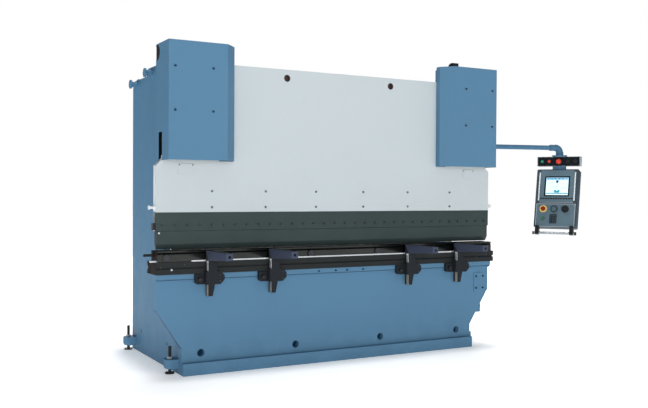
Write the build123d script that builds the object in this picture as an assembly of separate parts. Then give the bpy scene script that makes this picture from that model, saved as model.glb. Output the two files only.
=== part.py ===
from build123d import *
import math
import os

# Hydraulic press brake. Millimetres, +Z up, X along the bend, the operator stands at -Y.
# The origin lies on the floor under the middle of the bending line.

os.makedirs("parts", exist_ok=True)

# Shared sizes
bend_length = 3200.0
cut_overrun = 5.0
slide_clearance = 0.3
pin_clearance = 0.05
hole_clearance = 0.4

# Bed
bed_thickness = 60.0
bed_top = 785.0
bed_foot_length = 2784.0
bed_shoulder_height = 520.0
bed_ankle_height = 205.0
bed_hole_diameter = 60.0
bed_hole_depth = 46.0
bed_hole_height = 164.0
bed_hole_pitch = 824.0
base_bar_height = 95.0
base_bar_depth = 40.0
rail_length = 3214.0
rail_height = 55.0
rail_depth = 30.0
rail_groove_height = 8.0
rail_groove_depth = 12.0
rail_groove_rise = 8.0
rail_bolt_inner_pitch = 108.0
rail_bolt_outer_pitch = 428.0
rail_bolt_drop = 25.0
bolt_head_diameter = 16.0
bolt_head_height = 8.0
corner_plate_width = 126.0
corner_plate_height = 176.0
corner_plate_thickness = 6.0
corner_plate_edge_gap = 38.0
corner_plate_drop = 108.0
corner_screw_side_inset = 24.0
corner_screw_end_inset = 34.0
end_bolt_pitch = 90.0
end_bolt_drop = 120.0
socket_box_width = 173.0
socket_box_depth = 70.0
socket_box_height = 105.0
socket_box_bottom = 300.0
socket_diameter = 40.0
socket_length = 18.0
socket_bore_diameter = 26.0
socket_bore_depth = 30.0

# Side frames
frame_plate = 60.0
frame_depth = 1265.0
frame_top = 2460.0
frame_rear_drop = 63.0
frame_step_from_rear = 405.0
frame_step_run = 40.0
frame_corner_radius = 80.0
throat_depth = 400.0
throat_top = 1500.0
throat_radius = 90.0
side_hole_diameter = 30.0
side_hole_height = 190.0
side_hole_front_inset = 290.0
side_hole_rear_inset = 270.0
lug_reach = 98.0
lug_length = 115.0
lug_bottom = 40.0
lug_height = 75.0
lug_plan_radius = 52.0
lug_rim_radius = 18.0
lug_front_inset = 5.0
lug_rear_inset = 2.0
stud_diameter = 24.0
stud_top = 214.0
stud_reach = 53.0
nut_diameter = 42.0
nut_height = 18.0
foot_pad_diameter = 72.0
foot_pad_height = 12.0
bollard_front_inset = 677.0
bollard_rear_inset = 170.0
bollard_front_drop = 55.0
bollard_rear_drop = 44.0
bollard_base_diameter = 92.0
bollard_base_thickness = 10.0
bollard_shaft_diameter = 48.0
bollard_length = 78.0
bollard_flange_diameter = 76.0
bollard_flange_thickness = 14.0
tie_height = 140.0
tie_depth = 100.0
tie_bottom = 120.0
tie_rear_inset = 65.0
tie_wall = 10.0

# Bolster and die
bolster_length = 3230.0
bolster_height = 95.0
bolster_front = 90.0
bolster_rear = 130.0
bolster_notch_depth = 26.0
bolster_notch_height = 44.0
bolster_slot_height = 14.0
bolster_slot_depth = 16.0
bolster_slot_drop = 40.0
die_width = 150.0
die_height = 84.0
die_groove_width = 40.0
die_groove_depth = 20.0
die_side_groove_width = 16.0
die_side_groove_depth = 7.0
die_side_groove_drop = 20.0
die_rear_groove_width = 44.0
die_rear_groove_depth = 20.0
strip_length = 2550.0
strip_offset_share = -0.0188
strip_height = 10.0
strip_depth = 14.0
tongue_length = 50.0
tongue_width = 22.0
tongue_height = 12.0
tongue_setback = 14.0
bolster_screw_diameter = 18.0
bolster_screw_head = 1.5
bolster_screw_shares = (-0.927, 0.528, 0.925)
bolster_screw_rise = 41.0
clamp_screw_diameter = 44.0
clamp_screw_length = 13.0
clamp_screw_socket = 16.0
clamp_screw_socket_depth = 6.0
clamp_screw_rise = 34.0
clamp_screw_shares = (-0.96, -0.19, 0.215, 0.96)
rod_diameter = 20.0
rod_length = 75.0
rod_collar_diameter = 34.0
rod_collar_length = 12.0
rod_rise = 48.0
rod_setback = 35.0

# Ram and tools
ram_thickness = 60.0
ram_top = 2410.0
ram_crown_width = 2060.0
ram_ear_top = 1690.0
ram_shoulder_height = 1610.0
ram_shoulder_cut = 60.0
ram_bottom = 1114.0
ram_hole_diameter = 56.0
ram_hole_depth = 44.0
ram_hole_pitch = 1004.0
ram_hole_drop = 70.0
clamp_bar_height = 141.0
clamp_bar_thickness = 20.0
clamp_bar_gap = 0.5
clamp_bolt_pitch = 100.0
clamp_bolt_rise = 40.0
clamp_bolt_head = 18.0
clamp_bolt_head_height = 9.0
punch_end_gap = 8.0
punch_width = 52.0
punch_height = 141.0
punch_neck_height = 40.0
punch_tip_width = 2.0
tang_width = 13.0
tang_height = 30.0
tang_clearance = 0.3
ram_stroke = 200.0
ram_screw_pitch = 460.0
ram_screw_columns = 6
ram_screw_diameter = 18.0
ram_screw_height = 5.0
ram_screw_upper = 1418.0
ram_screw_lower = 1293.0
access_plate_width = 128.0
access_plate_height = 82.0
access_plate_thickness = 4.0
access_plate_height_centre = 1588.0
peg_height_centre = 1292.0
peg_length = 48.0
peg_shaft_diameter = 20.0
peg_flange_diameter = 32.0
peg_flange_thickness = 9.0
sensor_width = 36.0
sensor_height = 52.0
sensor_reach = 20.0
sensor_rise = 6.0
sensor_lead_diameter = 7.0
sensor_lead_top = 1262.0

# Cylinders and covers
cylinder_side = 220.0
cylinder_bottom = 1930.0
stroke_spare = 10.0
cylinder_cap = 60.0
cylinder_edge_radius = 20.0
gland_diameter = 150.0
gland_height = 14.0
rod_shaft_diameter = 90.0
piston_diameter = 150.0
piston_height = 50.0
piston_rise = 450.0
rod_foot_diameter = 140.0
rod_foot_height = 22.0
valve_block_side = 140.0
valve_block_height = 68.0
valve_coil_diameter = 52.0
valve_coil_length = 70.0
fill_valve_diameter = 92.0
fill_valve_reach = 112.0
fill_valve_setback = 60.0
fill_valve_drop = 7.0
guide_width = 120.0
guide_height = 185.0
guide_gap_below = 5.0
guide_chamfer = 14.0
cover_outer_width = 3110.0
cover_front = 192.0
cover_rear = 115.0
cover_face_width = 469.0
cover_chamfer_run = 96.0
cover_chamfer_depth = 103.0
cover_step_run = 100.0
cover_bottom = 1651.0
cover_top = 2541.0
cover_sheet = 4.0
cover_slot_front = 36.0
cover_slot_rear = 44.0
cover_slot_height = 214.0
cover_inner_slot_height = 252.0
cover_hole_diameter = 118.0
cover_hole_drop = 66.0
cover_hole_rear_inset = 32.0
cover_frame_gap = 6.0
cover_pipe_gap = 6.0
cover_screw_upper_drop = 195.0
cover_screw_lower_drop = 521.0
cover_screw_outer_inset = 50.0
cover_screw_inner_inset = 350.0
cover_screw_head = 17.0
cover_screw_head_height = 6.0
cover_screw_shank = 10.0
cover_bracket_bar = 10.0
cover_bracket_height = 40.0
cover_bracket_margin = 26.0
cover_bracket_stem = 120.0
plug_length = 66.0
plug_width = 40.0
plug_height = 34.0
plug_from_inner_edge = 92.0
plug_from_front = 42.0
lead_diameter = 13.0
lead_bend_radius = 24.0

# Hydraulic unit
tank_depth = 600.0
tank_bottom = 1720.0
tank_height = 490.0
tank_rear_inset = 135.0
tank_wall = 8.0
cap_diameter = 90.0
cap_height = 36.0
cap_neck_diameter = 66.0
cap_neck_height = 24.0
cap_x_share = -0.55
motor_diameter = 210.0
motor_length = 340.0
motor_fin_count = 20
motor_fin_height = 9.0
motor_fin_thickness = 5.0
motor_fin_length = 250.0
motor_bell_diameter = 168.0
motor_bell_length = 90.0
pump_side = 120.0
pump_length = 130.0
motor_foot_height = 120.0
motor_foot_width = 170.0
motor_foot_length = 220.0
motor_x_share = 0.2
motor_box_width = 110.0
motor_box_height = 70.0
motor_box_depth = 60.0
manifold_width = 120.0
manifold_depth = 80.0
manifold_height = 62.0
manifold_front_inset = 80.0
pipe_diameter = 28.0
pipe_rise = 30.0
pipe_bend_radius = 70.0
pipe_side_run = 102.0

# Electrical cabinet on the right side frame
cabinet_depth = 228.0
cabinet_width = 600.0
cabinet_height = 900.0
cabinet_bottom = 620.0
cabinet_rear_inset = 135.0
cabinet_wall = 4.0
cabinet_rail_height = 35.0
cabinet_rail_depth = 12.0
cabinet_rail_shares = (0.25, 0.5, 0.75)
door_thickness = 20.0
door_barrel_diameter = 16.0
door_fold = 8.0
door_handle_diameter = 36.0
door_handle_height = 14.0
door_handle_inset = 50.0

# Back gauge
slideway_spread = 1360.0
slideway_width = 140.0
slideway_length = 700.0
slideway_top = 700.0
slideway_root = 300.0
slideway_tip = 60.0
slideway_groove_width = 30.0
slideway_groove_depth = 15.0
gauge_beam_length = 2460.0
gauge_beam_depth = 80.0
gauge_beam_height = 90.0
gauge_beam_front = 330.0
gauge_leg_height = 140.0
gauge_leg_depth = 140.0
gauge_beam_chamfer = 10.0
finger_spread = 1000.0
finger_width = 80.0
finger_wall = 10.0
finger_lip = 30.0
finger_cap = 38.0
finger_nose_length = 90.0
finger_nose_height = 17.0
finger_tip_height = 9.0
finger_lift_over_die = 3.0

# Front sheet supports
support_place_shares = (-0.764, -0.431, 0.391, 0.722)
support_bolster_gap = 2.0
support_depth = 58.0
carriage_width = 200.0
carriage_left_reach = 83.0
carriage_height = 78.0
carriage_top_gap = 4.0
carriage_radius = 24.0
boss_width = 147.0
boss_left_reach = 15.0
boss_height = 100.0
boss_chamfer = 32.0
boss_bottom_rise = 2.0
column_foot_width = 36.0
column_head_width = 73.0
column_bottom = 615.0
column_taper_top = 800.0
arm_width = 57.0
arm_reach = 410.0
arm_root_height = 77.0
arm_tip_height = 53.0
arm_tip_radius = 10.0
arm_hole_diameter = 22.0
arm_hole_depth = 40.0
arm_top_drop = 1.0

# Pendant arm
pivot_reach = 218.0
pivot_y = 230.0
pivot_pin_diameter = 50.0
pivot_pin_height = 64.0
pivot_plate_width = 120.0
pivot_plate_thickness = 50.0
gusset_thickness = 20.0
hub_diameter = 96.0
hub_height = 74.0
arm_axis_height = 1867.0
arm_tube_diameter = 45.0
elbow_x = 2527.0
elbow_y = 0.0
elbow_diameter = 66.0
elbow_bend_radius = 48.0
elbow_socket_diameter = 60.0
elbow_socket_length = 60.0
leg_diameter = 73.0
leg_height = 32.0
leg_bottom = 1794.0
spigot_diameter = 40.0
spigot_height = 40.0

# Pendant head, facing the operator
head_yaw = -58.0
flange_diameter = 146.0
flange_thickness = 14.0
header_width = 418.0
header_height = 95.0
header_depth = 78.0
header_edge_radius = 6.0
neck_width = 120.0
neck_depth = 60.0
neck_height = 30.0
console_tilt = 13.0
console_width = 408.0
console_height = 584.0
console_depth = 95.0
console_front_setout = 52.0
console_edge_radius = 14.0
console_split_share = 0.586
console_split_width = 3.0
console_split_depth = 4.0
screen_width = 217.0
screen_height = 175.0
screen_thickness = 5.0
screen_frame_depth = 6.0
screen_top_inset = 85.0
screen_margin = 14.0
bezel_strip_width = 12.0
bezel_strip_height = 285.0
bezel_strip_depth = 5.0
bezel_strip_inset = 26.0
bezel_strip_top = 32.0
bracket_width = 36.0
bracket_thickness = 14.0
bracket_length = 72.0
bracket_inset = 38.0
handle_diameter = 28.0
handle_length = 420.0
handle_cap_diameter = 34.0
handle_cap_length = 16.0
handle_drop = 56.0
handle_forward = 12.0

# Hand controls
control_stem_diameter = 16.0
control_stem_length = 14.0
control_hole_depth = 24.0
control_gap = 0.3
button_diameter = 27.0
button_height = 8.0
button_travel = 4.0
mushroom_diameter = 50.0
mushroom_height = 16.0
mushroom_bevel = 6.0
mushroom_travel = 6.0
selector_diameter = 28.0
selector_height = 8.0
selector_grip_width = 9.0
selector_grip_height = 14.0
dial_diameter = 64.0
dial_height = 14.0
dial_rim = 9.0
dial_recess = 5.0
knob_diameter = 62.0
knob_height = 22.0
knob_pointer_width = 6.0
knob_pointer_depth = 4.0
estop_diameter = 44.0
header_button_shares = (-0.379, -0.215)
header_mushroom_share = 0.005
header_selector_shares = (0.215, 0.388)
console_upper_row_drop = 400.0
console_lower_row_drop = 495.0
estop_share = -0.293
dial_share = -0.035
knob_share = 0.228
green_button_share = -0.293

# Worked-out places
half_length = bend_length / 2
bed_front = -bed_thickness / 2
bed_back = bed_thickness / 2
frame_outer = bed_foot_length / 2
frame_inner = frame_outer - frame_plate
frame_front = bed_back
frame_rear = frame_front + frame_depth
upper_front = cylinder_side / 2
cylinder_x = frame_outer - frame_plate / 2
rail_front = bed_front - rail_depth
bolster_top = bed_top + bolster_height
die_top = bolster_top + die_height
ram_front = -ram_thickness / 2
piston_top = ram_ear_top + piston_rise + piston_height
cylinder_top = piston_top + ram_stroke + stroke_spare + cylinder_cap
clamp_face_back = ram_front + clamp_bar_thickness
clamp_bar_top = ram_bottom + clamp_bar_height
cover_outer = cover_outer_width / 2
cover_face_inner = cover_outer - cover_face_width
cover_inner = cover_face_inner - cover_chamfer_run
cover_step = cover_inner + cover_step_run
tank_rear = frame_rear - tank_rear_inset
tank_front = tank_rear - tank_depth
tank_top = tank_bottom + tank_height
pipe_turn_x = cylinder_x - cylinder_side / 2 - pipe_side_run
pipe_height = tank_top + pipe_rise
pivot_x = frame_outer + pivot_reach
hub_bottom = arm_axis_height - hub_height / 2
gauge_beam_bottom = slideway_top + gauge_leg_height
gauge_beam_top = gauge_beam_bottom + gauge_beam_height
support_back = -(bolster_front + support_bolster_gap)
support_front = support_back - support_depth
header_top = leg_bottom - flange_thickness - slide_clearance
header_bottom = header_top - header_height
console_top = header_bottom - neck_height
cabinet_rear = frame_rear - cabinet_rear_inset
cabinet_outer = frame_outer + cabinet_depth


def block(x_low, x_high, y_low, y_high, z_low, z_high):
    centre = Pos((x_low + x_high) / 2, (y_low + y_high) / 2, (z_low + z_high) / 2)
    return centre * Box(x_high - x_low, y_high - y_low, z_high - z_low)


def prism(points, along, length):
    """A closed outline of 3-D points, drawn out along a direction."""
    return extrude(make_face(Polyline(*points, close=True)), amount=length, dir=along)


def plate_xz(points, y_low, y_high):
    return prism([(x, y_low, z) for x, z in points], (0, 1, 0), y_high - y_low)


def plate_yz(points, x_low, x_high):
    return prism([(x_low, y, z) for y, z in points], (1, 0, 0), x_high - x_low)


def plate_xy(points, z_low, z_high):
    return prism([(x, y, z_low) for x, y in points], (0, 0, 1), z_high - z_low)


def round_bar(start, along, diameter, length):
    base = Plane(origin=start, z_dir=along)
    return base * Cylinder(diameter / 2, length, align=(Align.CENTER, Align.CENTER, Align.MIN))


def hex_bar(start, along, across_corners, length):
    base = Plane(origin=start, z_dir=along)
    return extrude(base * RegularPolygon(across_corners / 2, 6), amount=length)


def both_sides(shape):
    return Compound(children=[shape, mirror(shape, about=Plane.YZ)])


def symmetric_spots(pitch, count):
    return [(i - (count - 1) / 2) * pitch for i in range(count)]


# Side frames
def side_frame_outline():
    rear_top = frame_top - frame_rear_drop
    step_rear = frame_rear - frame_step_from_rear
    throat_back = frame_front + throat_depth
    return [
        (frame_front, 0),
        (frame_rear, 0),
        (frame_rear, rear_top),
        (step_rear, rear_top),
        (step_rear - frame_step_run, frame_top),
        (upper_front, frame_top),
        (upper_front, throat_top),
        (throat_back, throat_top),
        (throat_back, bed_top),
        (frame_front, bed_top),
    ]


def lug_fronts():
    return (frame_front + lug_front_inset, frame_rear - lug_rear_inset - lug_length)


def foot_lug(front):
    lug = block(
        frame_outer, frame_outer + lug_reach, front, front + lug_length,
        lug_bottom, lug_bottom + lug_height,
    )
    lug = fillet(lug.edges().filter_by(Axis.Z).group_by(Axis.X)[-1], lug_plan_radius)
    lower_rim = lug.edges().group_by(Axis.Z)[0].sort_by(Axis.X)[1:]
    return fillet(lower_rim, lug_rim_radius)


def side_frame():
    plate = plate_yz(side_frame_outline(), frame_inner, frame_outer)
    long_edges = plate.edges().filter_by(Axis.X)
    rear_corner = long_edges.filter_by_position(Axis.Y, frame_rear, frame_rear).group_by(Axis.Z)[-1]
    plate = fillet(rear_corner, frame_corner_radius)
    throat_back = frame_front + throat_depth
    throat_edges = plate.edges().filter_by(Axis.X).filter_by_position(Axis.Y, throat_back, throat_back)
    plate = fillet(throat_edges, throat_radius)
    for front in lug_fronts():
        middle = front + lug_length / 2
        plate += foot_lug(front)
        plate -= round_bar(
            (frame_outer + stud_reach, middle, 0), (0, 0, 1),
            stud_diameter + 2 * hole_clearance, stud_top,
        )
    for hole_y in (frame_front + side_hole_front_inset, frame_rear - side_hole_rear_inset):
        plate -= round_bar(
            (frame_inner - cut_overrun, hole_y, side_hole_height), (1, 0, 0),
            side_hole_diameter, frame_plate + 2 * cut_overrun,
        )
    return plate


def pivot_bracket():
    """Welded bracket on the right frame with the upright pin of the pendant arm."""
    half = pivot_plate_width / 2
    plate_bottom = hub_bottom - slide_clearance - pivot_plate_thickness
    plate = block(
        frame_outer, pivot_x, pivot_y - half, pivot_y + half,
        plate_bottom, plate_bottom + pivot_plate_thickness,
    )
    plate += round_bar((pivot_x, pivot_y, plate_bottom), (0, 0, 1), pivot_plate_width, pivot_plate_thickness)
    gusset = [
        (frame_outer, plate_bottom),
        (frame_outer, plate_bottom - pivot_plate_width),
        (pivot_x, plate_bottom),
    ]
    plate += plate_xz(gusset, pivot_y - gusset_thickness / 2, pivot_y + gusset_thickness / 2)
    plate += round_bar(
        (pivot_x, pivot_y, plate_bottom + pivot_plate_thickness), (0, 0, 1),
        pivot_pin_diameter, pivot_pin_height,
    )
    return plate


def levelling_screw(front):
    axis_x = frame_outer + stud_reach
    axis_y = front + lug_length / 2
    screw = round_bar((axis_x, axis_y, 0), (0, 0, 1), stud_diameter, stud_top)
    screw += round_bar((axis_x, axis_y, 0), (0, 0, 1), foot_pad_diameter, foot_pad_height)
    return screw + hex_bar((axis_x, axis_y, lug_bottom + lug_height), (0, 0, 1), nut_diameter, nut_height)


def levelling_screws():
    sides = [levelling_screw(front) for front in lug_fronts()]
    return Compound(children=sides + [mirror(screw, about=Plane.YZ) for screw in sides])


def bollard(y, z):
    post = round_bar((frame_outer, y, z), (1, 0, 0), bollard_base_diameter, bollard_base_thickness)
    post += round_bar((frame_outer, y, z), (1, 0, 0), bollard_shaft_diameter, bollard_length)
    flange_start = frame_outer + bollard_length - bollard_flange_thickness
    flange = round_bar((flange_start, y, z), (1, 0, 0), bollard_flange_diameter, bollard_flange_thickness)
    return post + flange


def lifting_bollards():
    front = bollard(frame_front + bollard_front_inset, frame_top - bollard_front_drop)
    rear = bollard(frame_rear - bollard_rear_inset, frame_top - frame_rear_drop - bollard_rear_drop)
    posts = [front, rear]
    return Compound(children=posts + [mirror(post, about=Plane.YZ) for post in posts])


def rear_tie_beam():
    back = frame_rear - tie_rear_inset
    tube = block(-frame_inner, frame_inner, back - tie_depth, back, tie_bottom, tie_bottom + tie_height)
    return tube - block(
        -frame_inner - cut_overrun, frame_inner + cut_overrun,
        back - tie_depth + tie_wall, back - tie_wall,
        tie_bottom + tie_wall, tie_bottom + tie_height - tie_wall,
    )


# Bed
def bed_plate():
    right = [
        (frame_outer, 0),
        (frame_outer, bed_ankle_height),
        (half_length, bed_shoulder_height),
        (half_length, bed_top),
    ]
    left = [(-x, z) for x, z in reversed(right)]
    holes = [
        round_bar(
            (x, bed_front - cut_overrun, bed_hole_height), (0, 1, 0),
            bed_hole_diameter, bed_hole_depth + cut_overrun,
        )
        for x in symmetric_spots(bed_hole_pitch, 4)
    ]
    return plate_xz(right + left, bed_front, bed_back) - holes


def bed_base_bar():
    return block(-frame_outer, frame_outer, bed_front - base_bar_depth, bed_front, 0, base_bar_height)


def rail_groove_bottom():
    return bed_top - rail_height + rail_groove_rise


def bed_top_rail():
    half = rail_length / 2
    rail = block(-half, half, rail_front, bed_front, bed_top - rail_height, bed_top)
    return rail - block(
        -half - cut_overrun, half + cut_overrun, rail_front - cut_overrun, rail_front + rail_groove_depth,
        rail_groove_bottom(), rail_groove_bottom() + rail_groove_height,
    )


def corner_plate_right():
    return half_length - corner_plate_edge_gap


def bed_corner_plate():
    right = corner_plate_right()
    top = bed_top - corner_plate_drop
    return block(
        right - corner_plate_width, right, bed_front - corner_plate_thickness, bed_front,
        top - corner_plate_height, top,
    )


def bed_fasteners():
    """Heads of the rail, bolster and corner plate screws, and of the two bolts in the bed's right end."""
    heads = []
    for pitch in (rail_bolt_inner_pitch, rail_bolt_outer_pitch):
        for x in symmetric_spots(pitch, 2):
            start = (x, rail_front, bed_top - rail_bolt_drop)
            heads.append(hex_bar(start, (0, -1, 0), bolt_head_diameter, bolt_head_height))
    for share in bolster_screw_shares:
        start = (share * half_length, -bolster_front, bed_top + bolster_screw_rise)
        heads.append(round_bar(start, (0, -1, 0), bolster_screw_diameter, bolster_screw_head))
    plate_middle_x = corner_plate_right() - corner_plate_width / 2
    plate_middle_z = bed_top - corner_plate_drop - corner_plate_height / 2
    for x in symmetric_spots(corner_plate_width - 2 * corner_screw_side_inset, 2):
        for z in symmetric_spots(corner_plate_height - 2 * corner_screw_end_inset, 2):
            start = (plate_middle_x + x, bed_front - corner_plate_thickness, plate_middle_z + z)
            heads.append(round_bar(start, (0, -1, 0), bolt_head_diameter, bolt_head_height))
    for row in range(2):
        start = (half_length, 0, bed_top - end_bolt_drop - row * end_bolt_pitch)
        heads.append(hex_bar(start, (1, 0, 0), bolt_head_diameter, bolt_head_height))
    return Compound(children=heads)


def pedal_socket_box():
    box = block(
        frame_outer, frame_outer + socket_box_width, bed_back, bed_back + socket_box_depth,
        socket_box_bottom, socket_box_bottom + socket_box_height,
    )
    socket = (
        frame_outer + socket_box_width,
        bed_back + socket_box_depth / 2,
        socket_box_bottom + socket_box_height / 2,
    )
    box += round_bar(socket, (1, 0, 0), socket_diameter, socket_length)
    mouth = (socket[0] + socket_length, socket[1], socket[2])
    return box - round_bar(mouth, (-1, 0, 0), socket_bore_diameter, socket_bore_depth)


# Bolster and die
def bolster():
    slot_top = bolster_top - bolster_slot_drop
    slot_bottom = slot_top - bolster_slot_height
    notch_middle = bed_top + bolster_height / 2
    outline = [
        (-bolster_front, bed_top),
        (bolster_rear, bed_top),
        (bolster_rear, notch_middle - bolster_notch_height / 2),
        (bolster_rear - bolster_notch_depth, notch_middle),
        (bolster_rear, notch_middle + bolster_notch_height / 2),
        (bolster_rear, bolster_top),
        (-bolster_front, bolster_top),
        (-bolster_front, slot_top),
        (-bolster_front + bolster_slot_depth, slot_top),
        (-bolster_front + bolster_slot_depth, slot_bottom),
        (-bolster_front, slot_bottom),
    ]
    return plate_yz(outline, -bolster_length / 2, bolster_length / 2)


def die_block():
    half = die_width / 2
    side_middle = die_top - die_side_groove_drop
    rear_middle = bolster_top + die_height / 2
    outline = [
        (-half, bolster_top),
        (half, bolster_top),
        (half, rear_middle - die_rear_groove_width / 2),
        (half - die_rear_groove_depth, rear_middle),
        (half, rear_middle + die_rear_groove_width / 2),
        (half, die_top),
        (die_groove_width / 2, die_top),
        (0, die_top - die_groove_depth),
        (-die_groove_width / 2, die_top),
        (-half, die_top),
        (-half, side_middle + die_side_groove_width / 2),
        (-half + die_side_groove_depth, side_middle),
        (-half, side_middle - die_side_groove_width / 2),
    ]
    return plate_yz(outline, -half_length, half_length)


def ground_strip():
    """Ground bar along the bolster's front edge, and the crowning wedge's tongue at the left end."""
    front = -bolster_front
    middle = strip_offset_share * bend_length
    strip = block(
        middle - strip_length / 2, middle + strip_length / 2,
        front, front + strip_depth, bolster_top, bolster_top + strip_height,
    )
    tongue_front = -die_width / 2 + tongue_setback
    tongue = block(
        -half_length - tongue_length, -half_length, tongue_front, tongue_front + tongue_width,
        bolster_top, bolster_top + tongue_height,
    )
    return Compound(children=[strip, tongue])


def die_clamp_screws():
    heads = []
    for share in clamp_screw_shares:
        start = (share * half_length, -die_width / 2, bolster_top + clamp_screw_rise)
        socket = (start[0], start[1] - clamp_screw_length, start[2])
        head = round_bar(start, (0, -1, 0), clamp_screw_diameter, clamp_screw_length)
        heads.append(head - hex_bar(socket, (0, 1, 0), clamp_screw_socket, clamp_screw_socket_depth))
    return Compound(children=heads)


def crowning_rod():
    start = (-half_length, rod_setback, bolster_top + rod_rise)
    rod = round_bar(start, (-1, 0, 0), rod_diameter, rod_length)
    return rod + round_bar(start, (-1, 0, 0), rod_collar_diameter, rod_collar_length)


# Ram and tools
def ram_plate():
    crown = ram_crown_width / 2
    ear = half_length - ram_shoulder_cut
    right = [
        (half_length, ram_bottom),
        (half_length, ram_shoulder_height),
        (ear, ram_shoulder_height + ram_shoulder_cut),
        (ear, ram_ear_top),
        (crown, ram_ear_top),
        (crown, ram_top),
    ]
    left = [(-x, z) for x, z in reversed(right)]
    plate = plate_xz(right + left, ram_front, -ram_front)
    reach = half_length + cut_overrun
    plate -= block(
        -reach, reach, ram_front - cut_overrun, clamp_face_back,
        ram_bottom - cut_overrun, clamp_bar_top + clamp_bar_gap,
    )
    plate -= block(
        -reach, reach, clamp_face_back - cut_overrun, clamp_face_back + tang_width,
        ram_bottom - cut_overrun, ram_bottom + tang_height,
    )
    holes = [
        round_bar(
            (x, ram_front - cut_overrun, ram_top - ram_hole_drop), (0, 1, 0),
            ram_hole_diameter, ram_hole_depth + cut_overrun,
        )
        for x in symmetric_spots(ram_hole_pitch, 2)
    ]
    return plate - holes


def clamp_bolt_spots():
    count = int(bend_length / clamp_bolt_pitch)
    return [(x, ram_bottom + clamp_bolt_rise) for x in symmetric_spots(clamp_bolt_pitch, count)]


def clamp_bar():
    return block(-half_length, half_length, ram_front, clamp_face_back, ram_bottom, clamp_bar_top)


def clamp_bolts():
    """Hexagon heads seated on the clamp bar's face."""
    return Compound(children=[
        hex_bar((x, ram_front, z), (0, -1, 0), clamp_bolt_head, clamp_bolt_head_height)
        for x, z in clamp_bolt_spots()
    ])


def punch():
    half = punch_width / 2
    tip = ram_bottom - punch_height
    tang_front = clamp_face_back + tang_clearance
    tang_back = clamp_face_back + tang_width - tang_clearance
    tang_top = ram_bottom + tang_height - tang_clearance
    outline = [
        (-half, ram_bottom),
        (tang_front, ram_bottom),
        (tang_front, tang_top),
        (tang_back, tang_top),
        (tang_back, ram_bottom),
        (half, ram_bottom),
        (half, tip + punch_neck_height),
        (punch_tip_width / 2, tip),
        (-punch_tip_width / 2, tip),
        (-half, tip + punch_neck_height),
    ]
    reach = half_length - punch_end_gap
    return plate_yz(outline, -reach, reach)


def ram_screws():
    heads = []
    for x in symmetric_spots(ram_screw_pitch, ram_screw_columns):
        for z in (ram_screw_upper, ram_screw_lower):
            heads.append(round_bar((x, ram_front, z), (0, -1, 0), ram_screw_diameter, ram_screw_height))
    return Compound(children=heads)


def ram_access_plates():
    half = access_plate_width / 2
    low = access_plate_height_centre - access_plate_height / 2
    return both_sides(block(
        cylinder_x - half, cylinder_x + half, ram_front - access_plate_thickness, ram_front,
        low, low + access_plate_height,
    ))


def ram_side_pins():
    start = (half_length, 0, peg_height_centre)
    outer = (half_length + peg_length - peg_flange_thickness, 0, peg_height_centre)
    peg = round_bar(start, (1, 0, 0), peg_shaft_diameter, peg_length)
    peg += round_bar(start, (1, 0, 0), peg_flange_diameter, peg_flange_thickness)
    return both_sides(peg + round_bar(outer, (1, 0, 0), peg_flange_diameter, peg_flange_thickness))


def ram_end_sensor():
    low = ram_bottom + sensor_rise
    box = block(
        -half_length - sensor_reach, -half_length, -sensor_width / 2, sensor_width / 2,
        low, low + sensor_height,
    )
    lead_x = -half_length - sensor_lead_diameter / 2 - slide_clearance
    return box + round_bar((lead_x, 0, low), (0, 0, 1), sensor_lead_diameter, sensor_lead_top - low)


# Cylinders, rods and guides
def cylinder():
    half = cylinder_side / 2
    body = block(cylinder_x - half, cylinder_x + half, -half, half, cylinder_bottom, cylinder_top)
    body = fillet(body.edges().filter_by(Axis.Z).group_by(Axis.Y)[0], cylinder_edge_radius)
    body += round_bar((cylinder_x, 0, cylinder_bottom), (0, 0, -1), gland_diameter, gland_height)
    chamber_length = cylinder_top - cylinder_bottom - 2 * cylinder_cap
    body -= round_bar(
        (cylinder_x, 0, cylinder_bottom + cylinder_cap), (0, 0, 1),
        piston_diameter + 2 * slide_clearance, chamber_length,
    )
    body -= round_bar(
        (cylinder_x, 0, cylinder_bottom - gland_height - cut_overrun), (0, 0, 1),
        rod_shaft_diameter + 2 * pin_clearance, cylinder_cap + gland_height + 2 * cut_overrun,
    )
    half = valve_block_side / 2
    body += block(
        cylinder_x - half, cylinder_x + half, -half, half, cylinder_top, cylinder_top + valve_block_height,
    )
    coil_start = (cylinder_x - half, 0, cylinder_top + valve_block_height / 2)
    body += round_bar(coil_start, (-1, 0, 0), valve_coil_diameter, valve_coil_length)
    valve_z = cylinder_top + valve_block_height / 2 - fill_valve_drop
    valve_start = (cylinder_x, fill_valve_setback, valve_z)
    return body + round_bar(valve_start, (1, 0, 0), fill_valve_diameter, half + fill_valve_reach)


def piston_rod():
    top = ram_ear_top + piston_rise
    rod = round_bar((cylinder_x, 0, ram_ear_top), (0, 0, 1), rod_shaft_diameter, piston_rise)
    rod += round_bar((cylinder_x, 0, ram_ear_top), (0, 0, 1), rod_foot_diameter, rod_foot_height)
    return rod + round_bar((cylinder_x, 0, top), (0, 0, 1), piston_diameter, piston_height)


def ram_guide():
    half = guide_width / 2
    low = throat_top + guide_gap_below
    guide = block(
        cylinder_x - half, cylinder_x + half, -ram_front + slide_clearance, upper_front,
        low, low + guide_height,
    )
    return chamfer(guide.edges().filter_by(Axis.Z).group_by(Axis.Y)[0], guide_chamfer)


# Cylinder covers, drawn for the right side
def cover_screw_spots():
    return [
        (cover_outer - inset, cover_top - drop)
        for inset in (cover_screw_outer_inset, cover_screw_inner_inset)
        for drop in (cover_screw_upper_drop, cover_screw_lower_drop)
    ]


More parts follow.
